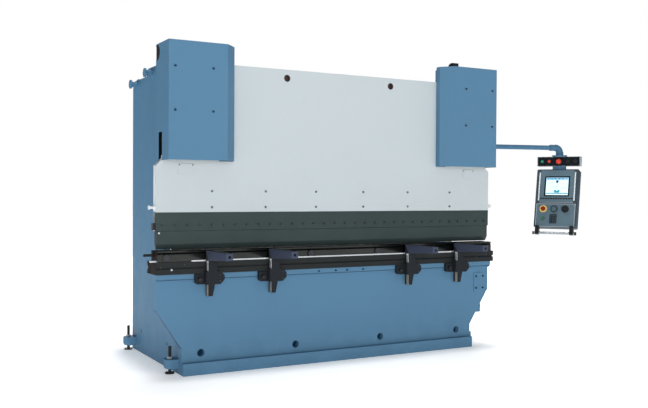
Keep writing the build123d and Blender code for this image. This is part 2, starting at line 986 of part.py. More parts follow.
def cylinder_cover():
    """Folded sheet hood, open below, stepped and slotted round the ram, cut out round frame and pipe."""
    plan = [
        (cover_outer, cover_rear),
        (cover_outer, -cover_front),
        (cover_face_inner, -cover_front),
        (cover_inner, -cover_front + cover_chamfer_depth),
        (cover_inner, -cover_slot_front),
        (cover_step, -cover_slot_front),
        (cover_step, cover_rear),
    ]
    outer = make_face(Polyline(*plan, close=True))
    inner = offset(outer, amount=-cover_sheet, kind=Kind.INTERSECTION)
    height = cover_top - cover_bottom
    hood = Pos(0, 0, cover_bottom) * extrude(outer, amount=height)
    hood -= Pos(0, 0, cover_bottom - cut_overrun) * extrude(inner, amount=height - cover_sheet + cut_overrun)
    cut = cover_sheet + cut_overrun
    for wall_x, slot_height in (
        (cover_outer - cut, cover_slot_height),
        (cover_step - cut_overrun, cover_inner_slot_height),
    ):
        hood -= block(
            wall_x, wall_x + cut + cut_overrun, -cover_slot_front, cover_slot_rear,
            cover_bottom - cut_overrun, cover_bottom + slot_height,
        )
    hood -= block(
        frame_inner - cover_frame_gap, frame_outer + cover_frame_gap,
        cover_rear - cut, cover_rear + cut_overrun,
        cover_bottom - cut_overrun, frame_top + cover_frame_gap,
    )
    hood -= round_bar(
        (pipe_turn_x, cover_rear - cut, pipe_height), (0, 1, 0),
        pipe_diameter + 2 * cover_pipe_gap, cut + cut_overrun,
    )
    hood -= round_bar(
        (cover_outer - cut, cover_rear - cover_hole_rear_inset, cover_top - cover_hole_drop), (1, 0, 0),
        cover_hole_diameter, cut + cut_overrun,
    )
    holes = [
        round_bar(
            (x, -cover_front - cut_overrun, z), (0, 1, 0),
            cover_screw_shank + 2 * hole_clearance, 2 * cut_overrun + cover_sheet,
        )
        for x, z in cover_screw_spots()
    ]
    return hood - holes


def cover_bracket(drop):
    """Flat bar behind the cover's face on a stem from the cylinder's front."""
    low = cover_top - drop - cover_bracket_height / 2
    high = low + cover_bracket_height
    bar_front = -cover_front + cover_sheet
    bar_back = bar_front + cover_bracket_bar
    bar = block(
        cover_outer - cover_screw_inner_inset - cover_bracket_margin,
        cover_outer - cover_screw_outer_inset + cover_bracket_margin,
        bar_front, bar_back, low, high,
    )
    half = cover_bracket_stem / 2
    bar += block(cylinder_x - half, cylinder_x + half, bar_back, -cylinder_side / 2, low, high)
    holes = [
        round_bar(
            (cover_outer - inset, bar_front - cut_overrun, cover_top - drop), (0, 1, 0),
            cover_screw_shank + 2 * hole_clearance, 2 * cut_overrun + cover_bracket_bar,
        )
        for inset in (cover_screw_outer_inset, cover_screw_inner_inset)
    ]
    return bar - holes


def cover_brackets():
    bars = [cover_bracket(drop) for drop in (cover_screw_upper_drop, cover_screw_lower_drop)]
    return Compound(children=bars + [mirror(bar, about=Plane.YZ) for bar in bars])


def cover_screws():
    screws = []
    for x, z in cover_screw_spots():
        start = (x, -cover_front, z)
        screw = round_bar(start, (0, -1, 0), cover_screw_head, cover_screw_head_height)
        screw += round_bar(start, (0, 1, 0), cover_screw_shank, cover_sheet + cover_bracket_bar)
        screws.append(screw)
    return Compound(children=screws + [mirror(screw, about=Plane.YZ) for screw in screws])


def cover_lead():
    """Plug on the right cover's top, with its short lead bending down into the cover."""
    plug_left = cover_inner + plug_from_inner_edge
    plug_front = -cover_front + plug_from_front
    plug = block(
        plug_left, plug_left + plug_length, plug_front, plug_front + plug_width,
        cover_top, cover_top + plug_height,
    )
    lead_y = plug_front + plug_width / 2
    foot = Vector(plug_left - lead_bend_radius, lead_y, cover_top)
    bend = CenterArc((0, 0), lead_bend_radius, 90, 90)
    arc_plane = Plane(origin=(plug_left, lead_y, cover_top), x_dir=(1, 0, 0), z_dir=(0, -1, 0))
    section = Plane(origin=foot, z_dir=(0, 0, 1)) * Circle(lead_diameter / 2)
    return plug + sweep(section, path=arc_plane * bend)


# Hydraulic unit
def oil_tank():
    tank = block(-frame_inner, frame_inner, tank_front, tank_rear, tank_bottom, tank_top)
    return tank - block(
        -frame_inner + tank_wall, frame_inner - tank_wall,
        tank_front + tank_wall, tank_rear - tank_wall,
        tank_bottom + tank_wall, tank_top - tank_wall,
    )


def tank_filler_cap():
    spot = (cap_x_share * frame_inner, (tank_front + tank_rear) / 2, tank_top)
    neck = round_bar(spot, (0, 0, 1), cap_neck_diameter, cap_neck_height)
    lid = (spot[0], spot[1], tank_top + cap_neck_height)
    return neck + round_bar(lid, (0, 0, 1), cap_diameter, cap_height)


def pump_motor():
    """Finned motor on its foot, with the bell housing and the pump on its shaft line."""
    start_x = motor_x_share * frame_inner
    axis_y = (tank_front + tank_rear) / 2
    axis_z = tank_top + motor_foot_height
    unit = round_bar((start_x, axis_y, axis_z), (1, 0, 0), motor_diameter, motor_length)
    fin_start = start_x + (motor_length - motor_fin_length) / 2
    fin_reach = motor_diameter / 2 + motor_fin_height
    fin = block(
        fin_start, fin_start + motor_fin_length, 0, fin_reach,
        -motor_fin_thickness / 2, motor_fin_thickness / 2,
    )
    turn = 360 / motor_fin_count
    unit += [Pos(0, axis_y, axis_z) * Rot(X=i * turn) * fin for i in range(motor_fin_count)]
    unit += round_bar((start_x, axis_y, axis_z), (-1, 0, 0), motor_bell_diameter, motor_bell_length)
    pump_end = start_x - motor_bell_length
    half = pump_side / 2
    unit += block(
        pump_end - pump_length, pump_end, axis_y - half, axis_y + half, axis_z - half, axis_z + half,
    )
    foot_start = start_x + (motor_length - motor_foot_length) / 2
    unit += block(
        foot_start, foot_start + motor_foot_length,
        axis_y - motor_foot_width / 2, axis_y + motor_foot_width / 2, tank_top, axis_z,
    )
    box_front = axis_y - motor_diameter / 2 - motor_box_depth
    box_start = start_x + (motor_length - motor_box_width) / 2
    return unit + block(
        box_start, box_start + motor_box_width, box_front, axis_y,
        axis_z - motor_box_height / 2, axis_z + motor_box_height / 2,
    )


def pressure_pipe(manifold_y):
    start = (manifold_width / 2, manifold_y, pipe_height)
    route = FilletPolyline(
        start,
        (pipe_turn_x, manifold_y, pipe_height),
        (pipe_turn_x, 0, pipe_height),
        (cylinder_x - cylinder_side / 2, 0, pipe_height),
        radius=pipe_bend_radius,
    )
    section = Plane(origin=start, z_dir=(1, 0, 0)) * Circle(pipe_diameter / 2)
    return sweep(section, path=route)


def pressure_pipes():
    """Manifold on the tank with one steel pipe to each cylinder."""
    middle_y = tank_front + manifold_front_inset
    half = manifold_width / 2
    manifold = block(
        -half, half, middle_y - manifold_depth / 2, middle_y + manifold_depth / 2,
        tank_top, tank_top + manifold_height,
    )
    pipe = pressure_pipe(middle_y)
    return manifold + pipe + mirror(pipe, about=Plane.YZ)


# Electrical cabinet
def electrical_cabinet():
    front = cabinet_rear - cabinet_width
    top = cabinet_bottom + cabinet_height
    box = block(frame_outer, cabinet_outer, front, cabinet_rear, cabinet_bottom, top)
    box -= block(
        frame_outer + cabinet_wall, cabinet_outer + cut_overrun,
        front + cabinet_wall, cabinet_rear - cabinet_wall,
        cabinet_bottom + cabinet_wall, top - cabinet_wall,
    )
    for share in cabinet_rail_shares:
        rail_z = cabinet_bottom + share * cabinet_height
        box += block(
            frame_outer, frame_outer + cabinet_wall + cabinet_rail_depth, front, cabinet_rear,
            rail_z - cabinet_rail_height / 2, rail_z + cabinet_rail_height / 2,
        )
    return box


def door_axis():
    return (cabinet_outer + slide_clearance + door_thickness / 2, cabinet_rear + door_barrel_diameter / 2)


def cabinet_door():
    front = cabinet_rear - cabinet_width
    top = cabinet_bottom + cabinet_height
    inner_x = cabinet_outer + slide_clearance
    outer_x = inner_x + door_thickness
    door = block(inner_x, outer_x, front, cabinet_rear, cabinet_bottom, top)
    door = chamfer(door.faces().sort_by(Axis.X)[-1].edges(), door_fold)
    axis_x, axis_y = door_axis()
    door += round_bar((axis_x, axis_y, cabinet_bottom), (0, 0, 1), door_barrel_diameter, cabinet_height)
    door += block(
        inner_x, axis_x, cabinet_rear - door_fold, axis_y, cabinet_bottom, top,
    )
    latch = (outer_x, front + door_handle_inset, cabinet_bottom + cabinet_height / 2)
    return door + round_bar(latch, (1, 0, 0), door_handle_diameter, door_handle_height)


# Back gauge
def gauge_slideway():
    half = slideway_width / 2
    middle_x = slideway_spread / 2
    tip_y = bed_back + slideway_length
    outline = [
        (bed_back, slideway_top - slideway_root),
        (bed_back, slideway_top),
        (tip_y, slideway_top),
        (tip_y, slideway_top - slideway_tip),
    ]
    way = plate_yz(outline, middle_x - half, middle_x + half)
    return way - block(
        middle_x - slideway_groove_width / 2, middle_x + slideway_groove_width / 2,
        bed_back - cut_overrun, tip_y + cut_overrun,
        slideway_top - slideway_groove_depth, slideway_top + cut_overrun,
    )


def gauge_beam():
    half = gauge_beam_length / 2
    back = gauge_beam_front + gauge_beam_depth
    beam = block(-half, half, gauge_beam_front, back, gauge_beam_bottom, gauge_beam_top)
    beam = chamfer(beam.edges().filter_by(Axis.X).group_by(Axis.Z)[0], gauge_beam_chamfer)
    leg_middle = gauge_beam_front + gauge_beam_depth / 2
    leg_front = leg_middle - gauge_leg_depth / 2
    leg_back = leg_middle + gauge_leg_depth / 2
    tongue_half = slideway_groove_width / 2 - slide_clearance
    for middle_x in symmetric_spots(slideway_spread, 2):
        half_leg = slideway_width / 2
        taper = [
            (leg_front, slideway_top + slide_clearance),
            (leg_back, slideway_top + slide_clearance),
            (back - gauge_beam_chamfer, gauge_beam_bottom + gauge_beam_chamfer),
            (gauge_beam_front + gauge_beam_chamfer, gauge_beam_bottom + gauge_beam_chamfer),
        ]
        beam += plate_yz(taper, middle_x - half_leg, middle_x + half_leg)
        beam += block(
            middle_x - tongue_half, middle_x + tongue_half, leg_front, leg_back,
            slideway_top - slideway_groove_depth + slide_clearance, slideway_top + gauge_beam_chamfer,
        )
    return beam


def gauge_finger(middle_x):
    """Saddle over the beam with a stop nose that reaches in above the die."""
    front = gauge_beam_front - slide_clearance
    back = gauge_beam_front + gauge_beam_depth + slide_clearance
    seat = gauge_beam_top + slide_clearance
    nose_bottom = die_top + finger_lift_over_die
    nose_tip = front - finger_wall - finger_nose_length
    cap_top = max(seat + finger_cap, nose_bottom + finger_nose_height)
    outline = [
        (front - finger_wall, gauge_beam_top - finger_lip),
        (front, gauge_beam_top - finger_lip),
        (front, seat),
        (back, seat),
        (back, gauge_beam_top - finger_lip),
        (back + finger_wall, gauge_beam_top - finger_lip),
        (back + finger_wall, cap_top),
        (front, cap_top),
        (nose_tip, nose_bottom + finger_tip_height),
        (nose_tip, nose_bottom),
        (front - finger_wall, nose_bottom),
    ]
    return plate_yz(outline, middle_x - finger_width / 2, middle_x + finger_width / 2)


# Front supports
def support(left):
    """Carriage in the rail's groove, boss, tapered column and the arm that holds the sheet."""
    carriage_left = left - carriage_left_reach
    carriage_right = carriage_left + carriage_width
    carriage_back = rail_front - slide_clearance
    carriage_high = bed_top - carriage_top_gap
    carriage = block(
        carriage_left, carriage_right, support_back - support_bolster_gap, carriage_back,
        carriage_high - carriage_height, carriage_high,
    )
    carriage = fillet(carriage.edges().filter_by(Axis.Y).group_by(Axis.Z)[0], carriage_radius)
    tongue_low = rail_groove_bottom() + slide_clearance
    tongue_high = rail_groove_bottom() + rail_groove_height - slide_clearance
    carriage += block(
        carriage_left, carriage_right, carriage_back - cut_overrun,
        rail_front + rail_groove_depth - slide_clearance, tongue_low, tongue_high,
    )
    boss_left = left - boss_left_reach
    boss_low = carriage_high - carriage_height + boss_bottom_rise
    boss = block(
        boss_left, boss_left + boss_width, support_front, support_back, boss_low, boss_low + boss_height,
    )
    boss = chamfer(boss.edges().filter_by(Axis.Y).group_by(Axis.X)[-1], boss_chamfer)
    arm_top = die_top - arm_top_drop
    arm_root = arm_top - arm_root_height
    column = [
        (left, column_bottom),
        (left + column_foot_width, column_bottom),
        (left + column_head_width, column_taper_top),
        (left + column_head_width, arm_root + arm_tip_radius),
        (left, arm_root + arm_tip_radius),
    ]
    tip_y = support_back - arm_reach
    arm_outline = [
        (support_back, arm_root),
        (support_back, arm_top),
        (tip_y, arm_top),
        (tip_y, arm_top - arm_tip_height),
        (support_front, arm_root),
    ]
    arm = plate_yz(arm_outline, left, left + arm_width)
    arm = fillet(arm.edges().filter_by(Axis.Z).group_by(Axis.Y)[0], arm_tip_radius)
    hole = (left + arm_width / 2, tip_y, arm_top - arm_tip_height / 2)
    arm -= round_bar(hole, (0, 1, 0), arm_hole_diameter, arm_hole_depth)
    return carriage + boss + plate_xz(column, support_front, support_back) + arm


# Pendant arm and head
def pendant_arm():
    run = Vector(elbow_x - pivot_x, elbow_y - pivot_y, 0)
    along = run.normalized()
    pivot = Vector(pivot_x, pivot_y, arm_axis_height)
    elbow = Vector(elbow_x, elbow_y, arm_axis_height)
    arm = round_bar((pivot_x, pivot_y, hub_bottom), (0, 0, 1), hub_diameter, hub_height)
    bend_start = elbow - along * elbow_bend_radius
    bend_end = elbow - Vector(0, 0, elbow_bend_radius)
    arm += round_bar(pivot, along, arm_tube_diameter, run.length - elbow_bend_radius)
    arm += round_bar(bend_start, -along, elbow_socket_diameter, elbow_socket_length)
    section = Plane(origin=bend_start, z_dir=along) * Circle(elbow_diameter / 2)
    arm += sweep(section, path=TangentArc(bend_start, bend_end, tangent=along))
    arm += round_bar((elbow_x, elbow_y, leg_bottom), (0, 0, 1), leg_diameter, leg_height)
    arm -= round_bar(
        (pivot_x, pivot_y, hub_bottom - cut_overrun), (0, 0, 1),
        pivot_pin_diameter + 2 * pin_clearance, pivot_pin_height + slide_clearance + 2 * cut_overrun,
    )
    return arm - round_bar(
        (elbow_x, elbow_y, leg_bottom - cut_overrun), (0, 0, 1),
        spigot_diameter + 2 * pin_clearance, spigot_height + 2 * cut_overrun,
    )


head_place = Location((elbow_x, elbow_y, 0), (0, 0, head_yaw))
tilt = math.radians(console_tilt)
header_face = head_place * Location(
    Plane(
        origin=(0, -header_depth / 2, (header_top + header_bottom) / 2),
        x_dir=(1, 0, 0), z_dir=(0, -1, 0),
    )
)
console_face = head_place * Location(
    Plane(
        origin=(0, -console_front_setout, console_top),
        x_dir=(1, 0, 0), z_dir=(0, -math.cos(tilt), math.sin(tilt)),
    )
)


def face_block(x_low, x_high, y_low, y_high, depth, stand):
    """Box in a panel's own frame: x right, y up the face, from depth behind it to stand before it."""
    return block(x_low, x_high, y_low, y_high, -depth, stand)


def stem_hole(x, y):
    return round_bar(
        (x, y, cut_overrun), (0, 0, -1),
        control_stem_diameter + 2 * pin_clearance, control_hole_depth + cut_overrun,
    )


def header_control_spots():
    shares = (*header_button_shares, header_mushroom_share, *header_selector_shares)
    return [(share * header_width, 0) for share in shares]


def console_control_spots():
    upper_shares = (estop_share, dial_share, knob_share)
    upper = [(share * console_width, -console_upper_row_drop) for share in upper_shares]
    return upper + [(green_button_share * console_width, -console_lower_row_drop)]


def header_box():
    box = face_block(
        -header_width / 2, header_width / 2, -header_height / 2, header_height / 2, header_depth, 0,
    )
    box = fillet(box.edges().filter_by(Axis.Z), header_edge_radius)
    for x, y in header_control_spots():
        box -= stem_hole(x, y)
    box = header_face * box
    axis = (elbow_x, elbow_y, header_top)
    box += round_bar(axis, (0, 0, 1), flange_diameter, flange_thickness)
    return box + round_bar(axis, (0, 0, 1), spigot_diameter, flange_thickness + spigot_height)


def console_housing():
    """Tilted console with the screen's recess, the split groove and the handle's two brackets."""
    half = console_width / 2
    box = face_block(-half, half, -console_height, 0, console_depth, 0)
    box = fillet(box.edges().filter_by(Axis.Z), console_edge_radius)
    split_y = -console_split_share * console_height
    box -= face_block(
        -half - cut_overrun, half + cut_overrun, split_y - console_split_width / 2,
        split_y + console_split_width / 2, console_split_depth, cut_overrun,
    )
    recess_half = screen_width / 2 + screen_margin
    screen_low = -screen_top_inset - screen_height
    box -= face_block(
        -recess_half, recess_half, screen_low - screen_margin, -screen_top_inset + screen_margin,
        screen_frame_depth, cut_overrun,
    )
    for side in (-1, 1):
        outer = side * (half - bezel_strip_inset)
        inner = side * (half - bezel_strip_inset - bezel_strip_width)
        box += face_block(
            min(outer, inner), max(outer, inner), -bezel_strip_top - bezel_strip_height, -bezel_strip_top,
            cut_overrun, bezel_strip_depth,
        )
        bracket_x = side * (half - bracket_inset)
        box += face_block(
            bracket_x - bracket_width / 2, bracket_x + bracket_width / 2,
            -console_height - bracket_length, -console_height + bracket_thickness,
            bracket_thickness + handle_forward, handle_diameter / 2 + handle_forward - bracket_thickness / 2,
        )
    for x, y in console_control_spots():
        box -= stem_hole(x, y)
    box -= handle_line(handle_diameter, handle_length)
    box = console_face * box
    neck = block(
        -neck_width / 2, neck_width / 2, -neck_depth / 2, neck_depth / 2,
        console_top - console_depth / 2, header_bottom,
    )
    return box + head_place * neck


def handle_line(diameter, length):
    start = (-length / 2, -console_height - handle_drop, -bracket_thickness / 2)
    return round_bar(start, (1, 0, 0), diameter, length)


def console_handle():
    bar = handle_line(handle_diameter, handle_length)
    for side in (-1, 1):
        end = (side * handle_length / 2, -console_height - handle_drop, -bracket_thickness / 2)
        bar += round_bar(end, (-side, 0, 0), handle_cap_diameter, handle_cap_length)
    return console_face * bar


def console_screen():
    half = screen_width / 2
    top = -screen_top_inset
    return console_face * block(
        -half, half, top - screen_height, top, -screen_frame_depth, -screen_frame_depth + screen_thickness,
    )


def control(face, spot, diameter, height, gap):
    """Cap standing clear of its panel by its travel, on a stem in the panel's hole."""
    x, y = spot
    cap = round_bar((x, y, gap), (0, 0, 1), diameter, height)
    stem = round_bar((x, y, gap), (0, 0, -1), control_stem_diameter, gap + control_stem_length)
    return cap + stem, face


def push_button(face, spot):
    shape, place = control(face, spot, button_diameter, button_height, button_travel + control_gap)
    return place * shape


def mushroom_button(face, spot, diameter):
    gap = mushroom_travel + control_gap
    shape, place = control(face, spot, diameter, mushroom_height, gap)
    top = shape.edges().filter_by(GeomType.CIRCLE).sort_by(Axis.Z)[-1]
    return place * chamfer(top, mushroom_bevel)


def selector(face, spot):
    x, y = spot
    shape, place = control(face, spot, selector_diameter, selector_height, control_gap)
    low = control_gap + selector_height
    half = selector_grip_width / 2
    reach = selector_diameter / 2 - control_gap
    shape += block(x - half, x + half, y - reach, y + reach, low - control_gap, low + selector_grip_height)
    return place * shape


def ring_dial(face, spot):
    x, y = spot
    shape, place = control(face, spot, dial_diameter, dial_height, control_gap)
    top = control_gap + dial_height
    recess = dial_diameter - 2 * dial_rim
    return place * (shape - round_bar((x, y, top), (0, 0, -1), recess, dial_recess))


def round_knob(face, spot):
    x, y = spot
    shape, place = control(face, spot, knob_diameter, knob_height, control_gap)
    top = control_gap + knob_height
    half = knob_pointer_width / 2
    pointer = block(
        x - half, x + half, y, y + knob_diameter / 2 + cut_overrun,
        top - knob_pointer_depth, top + cut_overrun,
    )
    return place * (shape - pointer)


header_spots = header_control_spots()
console_spots = console_control_spots()
right_cover = cylinder_cover()
right_frame = side_frame()

nodes = {
    "left_side_frame": mirror(right_frame, about=Plane.YZ),
    "right_side_frame": right_frame + pivot_bracket(),
    "levelling_screws": levelling_screws(),
    "lifting_bollards": lifting_bollards(),
    "rear_tie_beam": rear_tie_beam(),
    "bed_plate": bed_plate(),
    "bed_base_bar": bed_base_bar(),
    "bed_top_rail": bed_top_rail(),
    "bed_corner_plate": bed_corner_plate(),
    "bed_fasteners": bed_fasteners(),
    "pedal_socket_box": pedal_socket_box(),
    "bolster": bolster(),
    "die_block": die_block(),
    "ground_strip": ground_strip(),
    "die_clamp_screws": die_clamp_screws(),
    "crowning_rod": crowning_rod(),
    "ram_plate": ram_plate(),
    "clamp_bar": clamp_bar(),
    "clamp_bolts": clamp_bolts(),
    "punch": punch(),
    "ram_screws": ram_screws(),
    "ram_access_plates": ram_access_plates(),
    "ram_side_pins": ram_side_pins(),
    "ram_end_sensor": ram_end_sensor(),
    "hydraulic_cylinders": both_sides(cylinder()),
    "piston_rods": both_sides(piston_rod()),
    "ram_guides": both_sides(ram_guide()),
    "left_cylinder_cover": mirror(right_cover, about=Plane.YZ),
    "right_cylinder_cover": right_cover,
    "cover_brackets": cover_brackets(),
    "cover_screws": cover_screws(),
    "cover_lead": cover_lead(),
    "oil_tank": oil_tank(),
    "tank_filler_cap": tank_filler_cap(),
    "pump_motor": pump_motor(),
    "pressure_pipes": pressure_pipes(),
    "electrical_cabinet": electrical_cabinet(),
    "cabinet_door": cabinet_door(),
    "gauge_slideways": both_sides(gauge_slideway()),
    "gauge_beam": gauge_beam(),
    "gauge_finger_left": gauge_finger(-finger_spread / 2),
    "gauge_finger_right": gauge_finger(finger_spread / 2),
    "pendant_arm": pendant_arm(),
    "header_box": header_box(),
    "console_housing": console_housing(),
    "console_screen": console_screen(),
    "console_handle": console_handle(),
    "header_start_button": push_button(header_face, header_spots[0]),
    "header_stop_button": push_button(header_face, header_spots[1]),
    "header_mushroom": mushroom_button(header_face, header_spots[2], mushroom_diameter),
    "header_mode_selector": selector(header_face, header_spots[3]),
    "header_key_selector": selector(header_face, header_spots[4]),
    "console_estop": mushroom_button(console_face, console_spots[0], estop_diameter),
    "console_ring_dial": ring_dial(console_face, console_spots[1]),
    "console_round_knob": round_knob(console_face, console_spots[2]),
    "console_green_button": push_button(console_face, console_spots[3]),
}
for number, share in enumerate(support_place_shares, start=1):
    nodes[f"front_support_{number}"] = support(share * half_length)

for name, shape in nodes.items():
    export_step(shape, f"parts/{name}.step")
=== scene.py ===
import math

import bmesh
import bpy
from mathutils import Matrix, Vector


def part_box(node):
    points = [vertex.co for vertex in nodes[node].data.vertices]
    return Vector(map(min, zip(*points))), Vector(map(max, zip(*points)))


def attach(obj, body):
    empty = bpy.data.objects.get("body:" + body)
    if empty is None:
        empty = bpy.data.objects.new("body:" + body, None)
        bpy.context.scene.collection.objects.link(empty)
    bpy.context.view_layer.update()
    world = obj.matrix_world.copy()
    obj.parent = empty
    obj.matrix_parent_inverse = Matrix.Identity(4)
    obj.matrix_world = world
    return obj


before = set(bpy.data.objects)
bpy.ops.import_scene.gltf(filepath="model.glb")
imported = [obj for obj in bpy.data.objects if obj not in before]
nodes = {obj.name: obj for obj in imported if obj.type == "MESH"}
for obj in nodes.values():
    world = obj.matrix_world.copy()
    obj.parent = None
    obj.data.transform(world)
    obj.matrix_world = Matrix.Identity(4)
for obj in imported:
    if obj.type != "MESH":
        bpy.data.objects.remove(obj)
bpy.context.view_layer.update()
scene = bpy.context.scene
scene.view_settings.view_transform = "Standard"
scene.view_settings.look = "None"

# Sizes in millimetres, in the machine's frame: x to the right, y to the rear, z up
millimetre = 0.001
to_right = (1, 0, 0)
to_front, to_rear = (0, -1, 0), (0, 1, 0)
upward, downward = (0, 0, 1), (0, 0, -1)
supports = ("front_support_1", "front_support_2", "front_support_3", "front_support_4")
frame_side = 1392.0
sheet_edge, thin_edge = 0.8, 0.3
weld_radius = 4.0

# Panels of the pendant's head: z points out of the panel
out_of_panel, into_panel = upward, downward
elbow_x = 2527.0
head_yaw = -58.0
header_face = (-39.0, 1732.2)
console_face = (-52.0, 1654.7)
console_tilt = 13.0


# Shader building
def map_range(tree, value, low, high, to_low, to_high, steps="LINEAR"):
    node = tree.nodes.new("ShaderNodeMapRange")
    node.interpolation_type = steps
    slots = ("From Min", "From Max", "To Min", "To Max")
    for slot, number in zip(slots, (low, high, to_low, to_high)):
        node.inputs[slot].default_value = number
    tree.links.new(value, node.inputs["Value"])
    return node.outputs[0]


class Shader:
    """A principled material with short calls for its nodes."""

    def __init__(self, name):
        self.mat = bpy.data.materials.new(name)
        self.mat.use_nodes = True
        self.tree = self.mat.node_tree
        self.tree.nodes.clear()
        self.bsdf = self.tree.nodes.new("ShaderNodeBsdfPrincipled")
        out = self.tree.nodes.new("ShaderNodeOutputMaterial")
        self.link(self.bsdf.outputs[0], out.inputs[0])
        self.place = self.tree.nodes.new("ShaderNodeTexCoord").outputs["Object"]

    def link(self, start, end):
        self.tree.links.new(start, end)

    def set(self, **values):
        for key, value in values.items():
            self.bsdf.inputs[key.replace("_", " ")].default_value = value

    def noise(self, scale, detail=3.0, rough=0.5, stretch=(1, 1, 1)):
        mapping = self.tree.nodes.new("ShaderNodeMapping")
        mapping.inputs["Scale"].default_value = stretch
        self.link(self.place, mapping.inputs["Vector"])
        node = self.tree.nodes.new("ShaderNodeTexNoise")
        node.inputs["Scale"].default_value = scale
        node.inputs["Detail"].default_value = detail
        node.inputs["Roughness"].default_value = rough
        self.link(mapping.outputs[0], node.inputs["Vector"])
        return node.outputs["Fac"]

    def ranged(self, value, low, high, to_low, to_high, steps="LINEAR"):
        return map_range(self.tree, value, low, high, to_low, to_high, steps)

    def mix(self, factor, first, second):
        """Mix of two colours, each a socket or a constant."""
        factor_slot, first_slot, second_slot, colour_result = 0, 6, 7, 2
        node = self.tree.nodes.new("ShaderNodeMix")
        node.data_type = "RGBA"
        self.link(factor, node.inputs[factor_slot])
        for slot, value in ((first_slot, first), (second_slot, second)):
            if hasattr(value, "links"):
                self.link(value, node.inputs[slot])
            else:
                node.inputs[slot].default_value = (*value, 1)
        return node.outputs[colour_result]

    def times(self, first, second):
        node = self.tree.nodes.new("ShaderNodeMath")
        node.operation = "MULTIPLY"
        self.link(first, node.inputs[0])
        self.link(second, node.inputs[1])
        return node.outputs[0]

    def vector_math(self, operation, first, second=None):
        """Outputs of a vector node whose second input is a socket, a constant or not needed."""
        node = self.tree.nodes.new("ShaderNodeVectorMath")
        node.operation = operation
        self.link(first, node.inputs[0])
        if hasattr(second, "links"):
            self.link(second, node.inputs[1])
        elif second is not None:
            node.inputs[1].default_value = second
        return node.outputs

    def height(self):
        node = self.tree.nodes.new("ShaderNodeSeparateXYZ")
        self.link(self.place, node.inputs[0])
        return node.outputs[2]

    def distance(self):
        """Metres from the machine's origin."""
        return self.vector_math("LENGTH", self.place)["Value"]

    def box_distance(self, middle, half):
        """Metres outside a box with a given middle and half size."""
        offset = self.vector_math("SUBTRACT", self.place, middle)[0]
        reach = self.vector_math("ABSOLUTE", offset)[0]
        past = self.vector_math("SUBTRACT", reach, half)[0]
        outside = self.vector_math("MAXIMUM", past, (0, 0, 0))[0]
        return self.vector_math("LENGTH", outside)["Value"]

    def soft_edges(self, radius):
        node = self.tree.nodes.new("ShaderNodeBevel")
        node.inputs["Radius"].default_value = radius
        return node.outputs[0]

    def edge_share(self, radius):
        """0 on flat faces, rising to 1 along edges."""
        flat_cosine, edge_cosine = 0.98, 0.75
        normal = self.tree.nodes.new("ShaderNodeNewGeometry").outputs["True Normal"]
        cosine = self.vector_math("DOT_PRODUCT", self.soft_edges(radius), normal)["Value"]
        return self.ranged(cosine, flat_cosine, edge_cosine, 0.0, 1.0)

    def bump(self, height, distance, strength, edges):
        node = self.tree.nodes.new("ShaderNodeBump")
        node.inputs["Distance"].default_value = distance
        node.inputs["Strength"].default_value = strength
        self.link(height, node.inputs["Height"])
        self.link(self.soft_edges(edges), node.inputs["Normal"])
        self.link(node.outputs[0], self.bsdf.inputs["Normal"])

    def colour(self, value):
        self.link(value, self.bsdf.inputs["Base Color"])

    def roughness(self, value):
        self.link(value, self.bsdf.inputs["Roughness"])


def shade(colour, by):
    return tuple(min(1.0, c * by) for c in colour)


def rgb(red, green, blue):
    """Linear colour from display values of 0 to 255."""
    return tuple(((v / 255 + 0.055) / 1.055) ** 2.4 for v in (red, green, blue))


def paint(name, colour, rough=0.45, spread=0.05, peel=0.10, wear_and_highlight=0.35, edge=0.0025):
    """Sprayed paint: patchy tone, specks, orange peel, grime near the floor and lighter edges,
    partly rubbed wear and partly a painted highlight.
    """
    patch_scale, gloss_scale = 1.6, 9.0
    speck_scale, speck_share, speck_tone = 55.0, 0.10, 0.7
    grime_scale, grime_share, grime_height, grime_tone = 7.0, 0.3, 0.45, 0.45
    wear_and_highlight_scale, least_wear_and_highlight, wear_and_highlight_tone = 38.0, 0.1, 1.7
    peel_scale, peel_depth = 260.0, 0.0006
    s = Shader(name)
    s.set(Specular_IOR_Level=0.06)
    patches = s.noise(patch_scale, 4.0)
    base = s.mix(patches, shade(colour, 1 - spread), shade(colour, 1 + spread))
    specks = s.ranged(s.noise(speck_scale, 2.0), 0.62, 0.78, 0.0, speck_share)
    base = s.mix(specks, base, shade(colour, speck_tone))
    near_floor = s.ranged(s.height(), 0.0, grime_height, grime_share, 0.0)
    clouds = s.ranged(s.noise(grime_scale, 5.0, 0.65), 0.35, 0.75, 0.0, 1.0)
    base = s.mix(s.times(near_floor, clouds), base, shade(colour, grime_tone))
    # Lighter edges: partly rubbed wear and partly a painted highlight along the edges.
    wear_and_highlight_spots = s.ranged(s.noise(wear_and_highlight_scale, 4.0, 0.7), 0.45, 0.7, least_wear_and_highlight, wear_and_highlight)
    s.colour(s.mix(s.times(s.edge_share(edge), wear_and_highlight_spots), base, shade(colour, wear_and_highlight_tone)))
    s.roughness(s.ranged(s.noise(gloss_scale), 0.3, 0.7, rough - 0.05, rough + 0.08))
    s.bump(s.noise(peel_scale, 2.0), peel_depth, peel, edge)
    return s.mat


